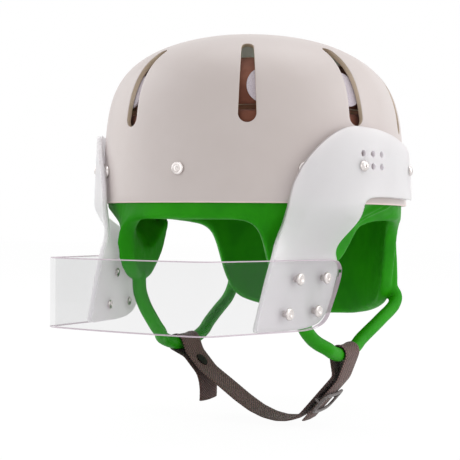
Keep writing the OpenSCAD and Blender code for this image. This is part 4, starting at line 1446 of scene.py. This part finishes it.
@dataclass
class Fasteners:
    """Rivets, screws and the small parts that keep their CAD shape."""

    rivet_angles: tuple[float, ...] = (0.0, 48.0, 135.0, 180.0, 225.0, 312.0)
    rivet_z: float = 20.5
    screw_angles: tuple[float, float] = (70.0, 110.0)
    screw_z: float = 22.8
    screw_r: float = 1.8
    plate_out: float = 5.8
    stack: float = 6.2
    bar_rows: tuple[Point2, ...] = ((-65.0, -45.0), (-36.0, -45.4), (-76.0, -65.0), (-45.5, -65.2))

    @staticmethod
    def ringed_head(radius: float, height: float, shank_r: float) -> list[Point2]:
        """Returns the profile of a flat head with a ring groove and a dimple, down to its shank.

        Args:
            radius: The head's radius.
            height: The head's height.
            shank_r: The shank's radius.

        Returns:
            The points, from the axis to the top of the shank.
        """
        return [
            (0, height - 0.55), (0.14 * radius, height - 0.5), (0.24 * radius, height - 0.12),
            (0.3 * radius, height), (0.48 * radius, height), (0.51 * radius, height - 0.28),
            (0.57 * radius, height - 0.28), (0.62 * radius, height), (0.8 * radius, height - 0.02),
            (0.9 * radius, height - 0.12), (0.97 * radius, height - 0.38), (radius, height - 0.75),
            (radius, 0.25), (0.97 * radius, 0.05), (shank_r, 0.0),
        ]

    @staticmethod
    def pair(left: bmesh.types.BMesh, piece: str, node: str, *looks: Look) -> None:
        """Makes the left piece and its mirror image, in place of the two CAD nodes.

        Args:
            left: The mesh on the wearer's left, which is freed.
            piece: The piece's name after its side.
            node: The CAD node's name after its side.
            looks: The finishes.
        """
        for side, bm in (("right", Mesh.mirrored(left)), ("left", left)):
            made = Mesh.object(f"{side}_{piece}", bm, 30.0)
            fit(dress(made, *looks), "helmet", f"{side}_{node}")

    def liner_rivets(self) -> None:
        """Makes the six rivets through shell and liner."""
        profile = self.ringed_head(4.0, 1.7, 2.0)
        profile += [
            (2.0, -4.9), (3.0, -5.0), (3.2, -5.4), (3.0, -5.8), (2.2, -5.9), (1.0, -5.6), (0, -5.2),
        ]
        rivets = Mesh.object("shell_rivets", Mesh.gather([
            (Mesh.turned(profile, 40), FORM.stand(t, self.rivet_z) @ lifted(0.1)) for t in self.rivet_angles
        ]), 30.0)
        fit(dress(rivets, Look.NICKEL), "helmet", "liner_rivets")

    def bar_stand(self, y: float, z: float) -> Matrix:
        """Returns the placing of a bar rivet, with its +Z out of the bar's left limb.

        Args:
            y: The fore-and-aft place.
            z: The height.

        Returns:
            The matrix in metres.
        """
        turn = math.atan(PLACES.limb_toe)
        out = Vector((math.cos(turn), -math.sin(turn), 0))
        down = Vector((0, 0, -1))
        return placing(Vector((PLACES.limb_x + PLACES.limb_toe * y, y, z)), down, out.cross(down), out)

    def bar_rivets(self) -> None:
        """Makes the semi-tubular rivets of the bar, rolled over on the inside."""
        rolled = [
            (2.0, 0), (2.5, -0.15), (2.9, -0.55), (2.85, -0.95), (2.4, -1.15), (1.7, -0.9),
            (1.3, -0.3), (1.25, 2.4), (0.6, 2.8), (0, 2.8),
        ]
        profile = self.ringed_head(3.7, 1.8, 2.0) + [(r, z - self.stack) for r, z in rolled]
        left = Mesh.gather([
            (Mesh.turned(profile, 40), self.bar_stand(y, z) @ lifted(0.05)) for y, z in self.bar_rows
        ])
        self.pair(left, "clinched_rivets", "bar_rivets", Look.NICKEL)

    def plate_screws(self) -> None:
        """Makes the pan-head screws with their cross recesses, painted dark inside as shade."""
        seat, r = self.plate_out + 0.2, self.screw_r
        top = seat + 2.0
        profile = [
            (0, top), (1.2, top - 0.04), (2.2, top - 0.25), (2.9, top - 0.7), (3.3, seat + 0.7),
            (3.4, seat + 0.25), (3.3, seat), (r, seat - 0.02), (r, -4.6), (0, -4.6),
        ]
        screw = Mesh.object("screw", Mesh.turned(profile, 40))
        for turn in (20, 110):
            arm = bmesh.new()
            bmesh.ops.create_cube(arm, size=1.0)
            bmesh.ops.scale(arm, vec=(4.2 * MM, 0.95 * MM, 2.4 * MM), verts=arm.verts)
            bmesh.ops.scale(arm, vec=(0.45, 0.5, 1), verts=[v for v in arm.verts if v.co.z < 0])
            matrix = lifted(top - 0.1) @ Matrix.Rotation(math.radians(turn), 4, "Z")
            Mesh.carve(screw, Mesh.gather([(arm, matrix)]), "DIFFERENCE")
        parts = []
        for t in self.screw_angles:
            bm = bmesh.new()
            bm.from_mesh(screw.data)
            for face in bm.faces:
                x, y, z = face.calc_center_median() / MM
                # Painted shade: the faces inside the cross recess take the dark cap finish.
                face.material_index = int(math.hypot(x, y) < 2.2 and seat < z < top - 0.12)
            parts.append((bm, FORM.stand(t, self.screw_z)))
        bpy.data.objects.remove(screw)
        self.pair(Mesh.gather(parts), "cross_screws", "plate_screws", Look.NICKEL, Look.CAP)

    def build(self, nodes: dict[str, bpy.types.Object]) -> None:
        """Makes the turned pieces and dresses the CAD nodes that stay.

        Args:
            nodes: The CAD nodes by name.
        """
        self.liner_rivets()
        self.bar_rivets()
        self.plate_screws()
        kept = {
            "liner_rivet_washers": Look.STEEL, "left_tee_nuts": Look.STEEL, "right_tee_nuts": Look.STEEL,
            "left_plate_spacers": Look.SPACER, "right_plate_spacers": Look.SPACER, "snap_stud": Look.CAP,
        }
        for name, look in kept.items():
            dress(nodes[name], look)


@dataclass
class SidePlates:
    """The milky plates that carry the bar, with their adjustment holes."""

    gap: float = 2.8
    thickness: float = PLACES.sheet_t
    panel_half_w: float = 76.6826
    toe: float = PLACES.limb_toe
    panel_z: float = 32.0
    foot: float = -75.0
    hole_pitch: float = 7.6
    hole_d: float = 4.0
    edge_r: float = 0.55
    grid_step: float = 2.0
    sheet_y: Point2 = (-112.0, 54.0)
    sheet_z: Point2 = (-80.0, 52.0)
    cutter_x: Point2 = (30.0, 130.0)

    def outline(self) -> list[Point2]:
        """Returns the rounded side view, as fore-and-aft place and height.

        Returns:
            The points of the closed line.
        """
        foot = self.foot
        corners = [
            (-40, 46.6), (-45, 45.8), (-50, 43.8), (-55, 40.3), (-60, 35.6), (-65, 29), (-69.5, 20.8),
            (-73, 10.5), (-74.8, 0), (-75.6, -6), (-76.4, -13), (-78.6, -20), (-82, -27),
            (-90.3, -45), (-102, foot + 1), (-60, foot), (-48, foot + 0.6), (-38, foot + 2.8),
            (-31.5, foot + 7), (-27.5, foot + 12), (-24.5, -57), (-19.5, -47), (-17.6, -42),
            (-17.6, -37.5), (-20, -31), (-26, -21), (-33, -10.5), (-36.5, -4), (-37, 0), (-34.5, 3.2),
            (-29, 4.6), (-20, 5), (20, 4.6), (42, 4.2), (47, 5), (48.8, 8), (48.2, 14), (46, 22),
            (42, 30), (36, 35), (28, 37.5), (12, 40), (-6, 43), (-24, 45.6),
        ]
        return relaxed(corners, 1.3, 5, closed=True)

    def x_at(self, y: float, z: float, out: float) -> float:
        """Returns the sideways place of a layer out outside the shell's skin.

        Args:
            y: The fore-and-aft place.
            z: The height.
            out: The layer's distance outside the skin.

        Returns:
            The distance from the middle plane.
        """
        rise = max(z, 0.0)
        end = (FORM.front if y < 0 else FORM.back) + out
        u = rise / (FORM.height + out)
        s = FORM.rise(u) * (1 + FORM.rim_flare * (1 - u))
        oval = max(0.0, 1 - (abs(y) / (end * s)) ** FORM.plan_n) ** (1 / FORM.plan_n)
        side = (FORM.half_w + out) * s * oval
        stretch = math.hypot(1, self.toe)
        panel = self.panel_half_w + (out - self.gap - self.thickness) * stretch + self.toe * y
        return mix(side, panel, smooth(-z / self.panel_z))

    def slab(self) -> bmesh.types.BMesh:
        """Returns the curved sheet that the plate is cut from.

        Returns:
            The closed mesh.
        """
        cols, rows = (round((b - a) / self.grid_step) for a, b in (self.sheet_y, self.sheet_z))

        def face(out: float) -> bmesh.types.BMesh:
            """Returns one face of the sheet.

            Args:
                out: The face's distance outside the shell's skin.

            Returns:
                The open grid.
            """
            def place(u: float, v: float) -> Vector:
                """Returns a point of the face.

                Args:
                    u: The share along the grid.
                    v: The share across the grid.

                Returns:
                    The point in millimetres.
                """
                y, z = mix(*self.sheet_y, u), mix(*self.sheet_z, v)
                return Vector((self.x_at(y, z, out), y, z))
            return Mesh.sheet(cols, rows, place)

        bm = Mesh.gather([(face(self.gap + self.thickness), Matrix()), (face(self.gap), Matrix())])
        bmesh.ops.bridge_loops(bm, edges=[e for e in bm.edges if e.is_boundary])
        bmesh.ops.recalc_face_normals(bm, faces=bm.faces)
        return bm

    def cutter(self) -> bmesh.types.BMesh:
        """Returns the outline as a solid that rounds the plate's two edges as it trims them.

        Its layers lie square to the sheet: each has its depth under the sheet's outer face, how
        far it is drawn in, and, for the two far ends, the sideways place where it is flat.

        Returns:
            The closed cutter.
        """
        line = self.outline()
        count = len(line)
        r, outer, through = self.edge_r, self.gap + self.thickness, self.thickness
        inner_x, outer_x = self.cutter_x
        steps = [(0.0, r), (0.15 * r, 0.47 * r), (0.5 * r, 0.13 * r), (r, 0.0)]
        layers = [(0.0, r, outer_x)] + [(depth, drawn, None) for depth, drawn in steps]
        layers += [(through - depth, drawn, None) for depth, drawn in steps[::-1]] + [(through, r, inner_x)]

        def place(u: float, v: float) -> Vector:
            """Returns the point of one outline point on one layer.

            Args:
                u: The share along the grid.
                v: The share across the grid.

            Returns:
                The point in millimetres.
            """
            k = round(u * count) % count
            (ay, az), (by, bz) = line[k - 1], line[(k + 1) % count]
            length = math.hypot(by - ay, bz - az)
            depth, drawn, flat_x = layers[round(v * (len(layers) - 1))]
            y = line[k][0] + drawn * (bz - az) / length
            z = line[k][1] - drawn * (by - ay) / length
            slope_y = self.x_at(y + 0.5, z, outer) - self.x_at(y - 0.5, z, outer)
            slope_z = self.x_at(y, z + 0.5, outer) - self.x_at(y, z - 0.5, outer)
            step = depth / math.sqrt(1 + slope_y**2 + slope_z**2)
            y, z = y + step * slope_y, z + step * slope_z
            return Vector((self.x_at(y, z, outer - depth) if flat_x is None else flat_x, y, z))

        return Mesh.close(Mesh.sheet(count, len(layers) - 1, place))

    def holes(self, fasteners: Fasteners) -> bmesh.types.BMesh:
        """Returns the drills of the adjustment holes and the screw holes.

        Args:
            fasteners: The screws that the holes are for.

        Returns:
            The cylinders.
        """
        first, last = fasteners.screw_angles
        turn = math.degrees(self.hole_pitch / FORM.plan_r(first, 0))
        places = [(first + i * turn, k) for i in range(3) for k in range(2)] + [(last, 0)]
        r = self.hole_d / 2 * MM
        parts = []
        for t, k in places:
            drill = bmesh.new()
            bmesh.ops.create_cone(drill, cap_ends=True, segments=28, radius1=r, radius2=r, depth=24 * MM)
            parts.append((drill, FORM.stand(t, fasteners.screw_z + k * self.hole_pitch)))
        return Mesh.gather(parts)

    def build(self, fasteners: Fasteners) -> None:
        """Makes both plates, with their edges in the polished finish.

        Args:
            fasteners: The screws that hold them.
        """
        plate = Mesh.object("left_plate", self.slab())
        Mesh.carve(plate, self.cutter(), "INTERSECT")
        Mesh.carve(plate, self.holes(fasteners), "DIFFERENCE")
        other = plate.copy()
        other.data = plate.data.copy()
        other.name = "right_plate"
        bpy.context.scene.collection.objects.link(other)
        other.data.transform(Matrix.Scale(-1, 4, (1, 0, 0)))
        other.data.flip_normals()
        for side, obj in (("left", plate), ("right", other)):
            dress(obj, Look.PLATE, Look.EDGE)
            for face in obj.data.polygons:
                x, y, z = face.center / MM
                low, high = self.x_at(y, z, self.gap), self.x_at(y, z, self.gap + self.thickness)
                face.material_index = int(low + 0.12 < abs(x) < high - 0.12)
            Mesh.shade(obj, 28.0)
            fit(obj, "helmet", f"{side}_side_plate")


@dataclass
class FaceBar:
    """The clear bar: a bent strip with rounded rear ends."""

    thickness: float = PLACES.sheet_t
    out_x: float = PLACES.limb_x
    toe: float = PLACES.limb_toe
    front: float = 156.5
    corner_r: float = 14.0
    bow: float = 3.0
    top: float = -33.0
    height: float = 39.5
    rear_drop: float = 4.0
    rear_y: float = -17.2
    bevel: float = 0.6
    limb_steps: int = 60
    arc_steps: int = 14
    front_steps: int = 8

    def plan(self) -> list[Point2]:
        """Returns the outer face's line from the left rear end to the middle of the front.

        Returns:
            The points in plan.
        """
        stretch = math.hypot(1, self.toe)
        corner_y = -self.front + self.bow + self.corner_r
        corner_x = self.out_x + self.toe * corner_y - self.corner_r * stretch
        line = [(self.out_x + self.toe * self.rear_y, self.rear_y)]
        start = -math.atan(self.toe)
        for k in range(self.arc_steps + 1):
            a = mix(start, -math.pi / 2, k / self.arc_steps)
            line.append((corner_x + self.corner_r * math.cos(a), corner_y + self.corner_r * math.sin(a)))
        for k in range(1, self.front_steps + 1):
            x = corner_x * (1 - k / self.front_steps)
            line.append((x, corner_y - self.corner_r - self.bow * (1 - (x / corner_x) ** 2)))
        return line

    def edges(self) -> tuple[list[Point2], list[Point2]]:
        """Returns the lower and the upper edge in side view, as (fore-and-aft, height).

        Returns:
            Both lines.
        """
        top, low = self.top, self.top - self.height
        drop, front, tip = low - self.rear_drop, -self.front - 5, (self.rear_y, top - 8)
        under = [
            (front, low + 0.6), (-68, drop + 0.3), (-56, drop), (-46, drop + 0.6), (-37.5, low - 1.2),
            (-32, low + 2.5), (-28, top - 30), (-23, top - 22), (-18.2, top - 13), tip,
        ]
        over = [(front, top + 1), (-30, top - 1.3), (-22, top - 2), (-18.6, top - 4.5), tip]
        return relaxed(under, 1.0, 6), relaxed(over, 1.0, 3)

    def build(self) -> None:
        """Bends the strip, gives it its thickness and eases its edges."""
        half = self.plan()
        under, over = self.edges()
        (ax, ay), (bx, by) = half[:2]
        shares = [(k / self.limb_steps) ** 1.4 for k in range(self.limb_steps)]
        left = [(mix(ax, bx, s), mix(ay, by, s)) for s in shares] + relaxed(half[1:], 1.6, 2)
        line = left + [(-x, y) for x, y in left[-2::-1]]
        count = len(line) - 1

        def place(u: float, v: float) -> Vector:
            """Returns a point of the strip's outer face.

            Args:
                u: The share along the grid.
                v: The share across the grid.

            Returns:
                The point in millimetres.
            """
            x, y = line[round(u * count)]
            return Vector((x, y, mix(along(under, y), along(over, y), v)))

        bm = Mesh.sheet(count, 12, place)
        bmesh.ops.remove_doubles(bm, verts=bm.verts, dist=1e-6)
        middle = min(bm.faces, key=lambda face: face.calc_center_median().y)
        if middle.normal.y > 0:
            bmesh.ops.reverse_faces(bm, faces=bm.faces)
        bm.normal_update()
        bmesh.ops.solidify(bm, geom=bm.faces[:], thickness=self.thickness * MM)
        bmesh.ops.recalc_face_normals(bm, faces=bm.faces)
        rims = [e for e in bm.edges if len(e.link_faces) == 2 and e.calc_face_angle(0) > 0.9]
        bmesh.ops.bevel(
            bm, geom=rims, offset=self.bevel * MM, offset_type="OFFSET", segments=2, profile=0.5,
            affect="EDGES", material=-1, clamp_overlap=False,
        )
        bar = dress(Mesh.object("clear_bar", bm, 30.0), Look.CLEAR, Look.CLEAR_EDGE)
        limb_y = self.corner_r - self.front
        for face in bar.data.polygons:
            rounded = 0.25 < abs(face.normal.z) < 0.97
            across = abs(face.normal.x) < 0.9 and face.center.y > limb_y * MM
            flat_end = abs(face.normal.x) < 0.25
            face.material_index = int(rounded or across and not flat_end)
        fit(bar, "helmet", "face_bar")


@dataclass
class ChinStrap:
    """The webbing over both loops, its snapped flap and its slider."""

    width: float = 25.4
    thickness: float = 1.6
    gap: float = 0.4
    half_w: float = PLACES.loop_half_w
    low_y: float = PLACES.loop_low_y
    low_z: float = PLACES.loop_low_z
    swing_z: float = PLACES.loop_low_z + PLACES.loop_arc_r
    wire: float = 2.0
    wire_r: float = 1.0
    slider_in_w: float = 26.6
    slider_len: float = 17.0
    snap_d: float = 13.4
    snap_gap: float = 1.6
    hinge_at: float = 200.0
    flap_from: float = 240.0
    fold_steps: int = 24

    def __post_init__(self) -> None:
        """Works out the strap's line in front view, as the drawing has it."""
        self.fold_r = PLACES.loop_d / 2 + self.gap + self.thickness / 2
        self.top = Vector((self.half_w - 2, self.low_z - 16))
        self.foot = Vector((self.half_w - 25, self.low_z - 42.5))
        self.run = (self.foot - self.top).normalized()
        self.side = Vector((self.run.y, -self.run.x))
        self.layer = (self.wire + 0.6 + self.thickness) / 2
        self.snap_run = Vector((14.5, -15.5)).normalized()
        self.snap_side = Vector((self.snap_run.y, -self.snap_run.x))
        self.snap = Vector((14.5 - self.half_w, self.low_z - 12.4))
        self.flap_step = self.snap_gap + self.thickness

    def fold(self, side: int, start: float, end: float) -> list[Vector]:
        """Returns the points of a fold over a loop between two angles in degrees.

        Args:
            side: 1 for the left loop and -1 for the right.
            start: The first angle.
            end: The last angle.

        Returns:
            The points in front view.
        """
        middle = Vector((side * self.half_w, self.low_z))
        angles = [math.radians(mix(start, end, k / self.fold_steps)) for k in range(self.fold_steps + 1)]
        return [middle + self.fold_r * Vector((math.cos(a), math.sin(a))) for a in angles]

    def main_line(self) -> list[Vector]:
        """Returns the webbing's line from below the slider to the start of the flap.

        Returns:
            The points in front view.
        """
        aside = self.layer * self.side
        line = [self.foot - aside + 3 * self.run, self.top - aside]
        line += self.fold(1, -21, 190) + [self.top + aside, self.foot + aside]
        sags = (
            (0.49, 45.6), (0.384, 47.4), (0.256, 48), (0.112, 46.6),
            (-0.048, 43), (-0.224, 36.8), (-0.432, 28.2),
        )
        line += [Vector((share * self.half_w, self.low_z - drop)) for share, drop in sags]
        line += [self.snap + 8 * self.snap_run, self.snap, self.snap - 8 * self.snap_run]
        return line + self.fold(-1, 22, self.hinge_at)

    def flap_line(self) -> list[Vector]:
        """Returns the flap's line from inside the fold to its free end.

        Returns:
            The points in front view.
        """
        start = self.snap + self.flap_step * self.snap_side
        line = self.fold(-1, self.hinge_at, self.flap_from)
        line += [start - 7 * self.snap_run, start + 6.5 * self.snap_run]
        hanging = ((3.8, -9.2), (5.4, -14.1), (6.2, -20.1), (6, -27.6))
        return line + [self.snap + Vector(step) for step in hanging]

    def swung(self, x: float, z: float, across: float) -> Vector:
        """Returns the point of the front view at a distance across the strap's width.

        Args:
            x: The sideways place.
            z: The height in the middle of the width.
            across: The distance.

        Returns:
            The point, on an arc about the swing line.
        """
        reach = self.swing_z - z
        return Vector((x, self.low_y + across, self.swing_z - math.sqrt(reach * reach - across * across)))

    def webbing(self, name: str, line: Sequence[Vector]) -> bpy.types.Object:
        """Weaves a strap along a front-view line, with thin selvedges and a UV map in millimetres.

        Args:
            name: The piece's name.
            line: The line of the strap's middle.

        Returns:
            The dressed strap.
        """
        path = [Vector(p) for p in relaxed([(p.x, p.y) for p in line], 0.9, 5)]
        count, half = len(path) - 1, self.width / 2
        widths = (-1, -0.985, -0.94, -0.8, -0.6, -0.4, -0.2, 0, 0.2, 0.4, 0.6, 0.8, 0.94, 0.985, 1)
        loop = [(w, 1.0) for w in widths] + [(w, -1.0) for w in widths[::-1]]
        around = len(loop)
        lengths = [0.0]
        for a, b in zip(path, path[1:]):
            lengths.append(lengths[-1] + (b - a).length)

        def place(u: float, v: float) -> Vector:
            """Returns a point of the strap's surface.

            Args:
                u: The share along the grid.
                v: The share across the grid.

            Returns:
                The point in millimetres.
            """
            k = round(u * count)
            way = (path[min(count, k + 1)] - path[max(0, k - 1)]).normalized()
            share, face = loop[round(v * around) % around]
            ribbed = 0.9 + 0.1 * math.cos(share * 24)
            thick = self.thickness / 2 * (1 - abs(share) ** 10 * 0.75) * ribbed
            at = path[k] + face * thick * Vector((-way.y, way.x))
            scallop = 0.12 * math.sin(lengths[k] * 2.4) * abs(share) ** 20
            return self.swung(at.x, at.y, share * half + scallop)

        bm = Mesh.sheet(count, around, place)
        uv = bm.loops.layers.uv["UVMap"]
        for face in bm.faces:
            for corner in face.loops:
                u, v = corner[uv].uv
                share = loop[round(v * around) % around][0]
                corner[uv].uv = (lengths[round(u * count)], share * half)
        return dress(Mesh.object(name, Mesh.close(bm), 60.0), Look.WEBBING)

    def on_strap(self, point: Vector, way: Vector) -> Matrix:
        """Returns the placing of what stands on the strap with its +Z along a front-view way.

        Args:
            point: The place in front view.
            way: The direction in front view.

        Returns:
            The matrix in metres.
        """
        y_axis, z_axis = Vector((0, 1, 0)), Vector((way.x, 0, way.y)).normalized()
        return placing(Vector((point.x, self.low_y, point.y)), y_axis.cross(z_axis), y_axis, z_axis)

    def snap_cap(self) -> None:
        """Makes the snap's cap: a dished disc with a raised rim and a deep socket."""
        half, r = self.thickness / 2, self.snap_d / 2
        profile = [
            (0, half + 0.55), (0.22 * r, half + 0.6), (0.27 * r, half + 1.5), (0.4 * r, half + 1.66),
            (0.62 * r, half + 1.5), (0.82 * r, half + 1.3), (0.93 * r, half + 1.12), (r, half + 0.62),
            (0.985 * r, half + 0.3), (0.9 * r, half + 0.15), (3.2, half + 0.12), (3.2, -half - 0.1),
            (4.4, -half - 0.15), (4.4, -half - 0.6), (2.35, -half - 0.6), (2.3, half - 0.5), (0, half - 0.5),
        ]
        at = self.snap + self.flap_step * self.snap_side
        bm = Mesh.gather([(Mesh.turned(profile, 48), self.on_strap(at, self.snap_side))])
        fit(dress(Mesh.object("snap_button", bm, 30.0), Look.CAP), "snap_flap", "snap_cap")

    def slider(self) -> None:
        """Makes the slider: a flat ring with round corners and a middle bar."""
        centre = self.top.lerp(self.foot, 0.56)
        drop = self.layer + self.thickness / 2 + 0.4 + self.wire / 2
        half_l = (self.slider_len - self.wire) / 2
        half_w = (self.slider_in_w + self.wire) / 2

        def at(along_strap: float, depth: float, across: float) -> Vector:
            """Returns a point of the slider, bent like the strap round the swing line."""
            p = centre + along_strap * self.run - depth * self.side
            return self.swung(p.x, p.y, across)

        corner = 3.2
        ring: list[Point2] = []
        for k in range(4 * 9):
            quarter, step = divmod(k, 9)
            a = math.pi / 2 * (quarter + step / 8)
            sx, sy = (1, -1, -1, 1)[quarter], (1, 1, -1, -1)[quarter]
            x, y = sx * (half_l - corner), sy * (half_w - corner)
            ring.append((x + corner * math.cos(a), y + corner * math.sin(a)))
        ring = relaxed(ring, 1.2, 1, closed=True)
        count = len(ring)

        def frame(u: float, v: float) -> Vector:
            """Returns a point of the ring's flattened section.

            Args:
                u: The share along the grid.
                v: The share across the grid.

            Returns:
                The point in millimetres.
            """
            k = round(u * count) % count
            (ax, ay), (bx, by) = ring[k - 1], ring[(k + 1) % count]
            length = math.hypot(bx - ax, by - ay)
            a = math.tau * v
            grow = 1.45 * math.cos(a)
            x = ring[k][0] + grow * (by - ay) / length
            y = ring[k][1] - grow * (bx - ax) / length
            return at(x, drop + self.wire_r * math.sin(a), y)

        def middle(u: float, v: float) -> Vector:
            """Returns a point of the middle bar, whose ends rise to the ring.

            Args:
                u: The share along the grid.
                v: The share across the grid.

            Returns:
                The point in millimetres.
            """
            share = 2 * u - 1
            a = math.tau * v
            rise = drop * smooth((abs(share) - 0.93) / 0.07)
            r = self.wire_r * (1.0 if abs(share) < 0.999 else 0.6)
            return at(r * math.cos(a), rise + r * math.sin(a), share * half_w)

        bm = Mesh.gather([
            (Mesh.close(Mesh.sheet(count, 16, frame)), Matrix()),
            (Mesh.close(Mesh.sheet(40, 14, middle)), Matrix()),
        ])
        fit(dress(Mesh.object("wire_slider", bm, 40.0), Look.SLIDER), "slider", "strap_slider")

    def build(self) -> None:
        """Makes the webbing, the flap that wraps over the fold, the cap and the slider."""
        fit(self.webbing("chin_webbing", self.main_line()), "chin_strap", "strap_webbing")
        flap = self.webbing("snap_flap_webbing", self.flap_line())
        fold = self.fold(-1, self.hinge_at + 4, self.flap_from)
        ends = fold[0], fold[-1] + 3.0 * (fold[-1] - fold[-2]).normalized()
        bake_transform(flap)
        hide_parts("strap_flap")
        self.snap_cap()
        self.slider()


@dataclass
class Studio:
    """The pale room: floor, soft lamps, world and camera."""

    floor_z: float = -0.151
    eye: tuple[float, float, float] = (0.30961, -0.61765, -0.00909)
    forward: tuple[float, float, float] = (-0.46218, 0.88671, -0.01174)
    right: tuple[float, float, float] = (0.8867, 0.46228, 0.00787)
    focal_px: float = 1015.98
    picture_px: float = 460.0
    sensor_mm: float = 36.0
    white_share: float = 0.93
    floor_glow: float = 1.03
    floor_grey: float = 0.92
    room_light: float = 0.55
    aim: tuple[float, float, float] = (0.0, 0.02, 0.0)
    lamps: tuple[tuple[str, tuple[float, float, float], float, float], ...] = (
        ("left_box", (-1.1, -0.1, 0.45), 0.9, 3.5), ("right_box", (1.1, 0.35, 0.4), 0.9, 5.5),
        ("top_box", (0.1, 0.1, 1.3), 1.1, 5.5), ("low_front", (-0.2, -1.3, 0.1), 1.0, 2.0),
    )

    def camera(self) -> None:
        """Places the camera that was fitted to the photograph."""
        data = bpy.data.cameras.new("view")
        data.sensor_width = self.sensor_mm
        data.sensor_fit = "HORIZONTAL"
        data.lens = self.focal_px / self.picture_px * self.sensor_mm
        data.clip_start = 0.01
        back = -Vector(self.forward).normalized()
        side = Vector(self.right)
        side = (side - side.dot(back) * back).normalized()
        turn = Matrix((side, back.cross(side), back)).transposed().to_4x4()
        camera = bpy.data.objects.new("view", data)
        camera.matrix_world = Matrix.Translation(self.eye) @ turn
        bpy.context.scene.collection.objects.link(camera)
        bpy.context.scene.camera = camera

    @staticmethod
    def backdrop_share(g: Graph) -> Wire:
        """Returns 1 for rays that should meet a white background.

        Args:
            g: The node tree.

        Returns:
            1 for the camera's rays and for rays off gloss or through clear plastic, else 0.
        """
        rays = [g.node("ShaderNodeLightPath", None, None, name) for name in (
            "Is Camera Ray", "Is Glossy Ray", "Is Transmission Ray",
        )]
        return (rays[0] + rays[1] + rays[2]).least(1.0)

    def floor(self) -> None:
        """Lays the floor, white to the camera but still shaded by the helmet."""
        bm = bmesh.new()
        bmesh.ops.create_grid(bm, x_segments=1, y_segments=1, size=4.0)
        bmesh.ops.translate(bm, vec=(0, 0, self.floor_z), verts=bm.verts)
        floor = Mesh.object("floor", bm)
        material = bpy.data.materials.new("pale_floor")
        g = Graph(material)
        lit = g.node("ShaderNodeBsdfDiffuse", None, {"Color": (*[self.floor_grey] * 3, 1)})
        white = g.node("ShaderNodeEmission", None, {"Color": (1, 1, 1, 1), "Strength": self.floor_glow})
        share = self.backdrop_share(g) * self.white_share
        g.end(g.node("ShaderNodeMixShader", None, {0: share, 1: lit, 2: white}))
        floor.data.materials.append(material)

    def world(self) -> None:
        """Fills the room with soft light, white to the camera and in reflections."""
        world = bpy.data.worlds.new("room")
        bpy.context.scene.world = world
        g = Graph(world)
        strength = self.backdrop_share(g) * (1 - self.room_light) + self.room_light
        g.end(g.node("ShaderNodeBackground", None, {"Color": (1, 1, 1, 1), "Strength": strength}), "World")

    def lamp(self, name: str, place: Sequence[float], size: float, power: float) -> None:
        """Hangs one soft square lamp that faces the helmet.

        Args:
            name: The lamp's name.
            place: Its place in metres.
            size: Its width in metres.
            power: Its power in watts.
        """
        data = bpy.data.lights.new(name, "AREA")
        data.shape = "SQUARE"
        data.size = size
        data.energy = power
        lamp = bpy.data.objects.new(name, data)
        way = Vector(self.aim) - Vector(place)
        lamp.matrix_world = Matrix.Translation(place) @ way.to_track_quat("-Z", "Y").to_matrix().to_4x4()
        bpy.context.scene.collection.objects.link(lamp)

    def build(self) -> None:
        """Makes the room."""
        self.camera()
        self.floor()
        self.world()
        for lamp in self.lamps:
            self.lamp(*lamp)
        bpy.context.scene.view_settings.view_transform = "Standard"


def main() -> None:
    """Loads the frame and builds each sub-assembly in order."""
    logging.basicConfig(level=logging.INFO, format="%(message)s")
    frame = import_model()
    Studio().build()
    fasteners = Fasteners()
    HardShell().build()
    FoamLiner().build()
    CrownPadding().build()
    SidePlates().build(fasteners)
    FaceBar().build()
    fasteners.build(frame["nodes"])
    ChinStrap().build()


if __name__ == "__main__":
    main()
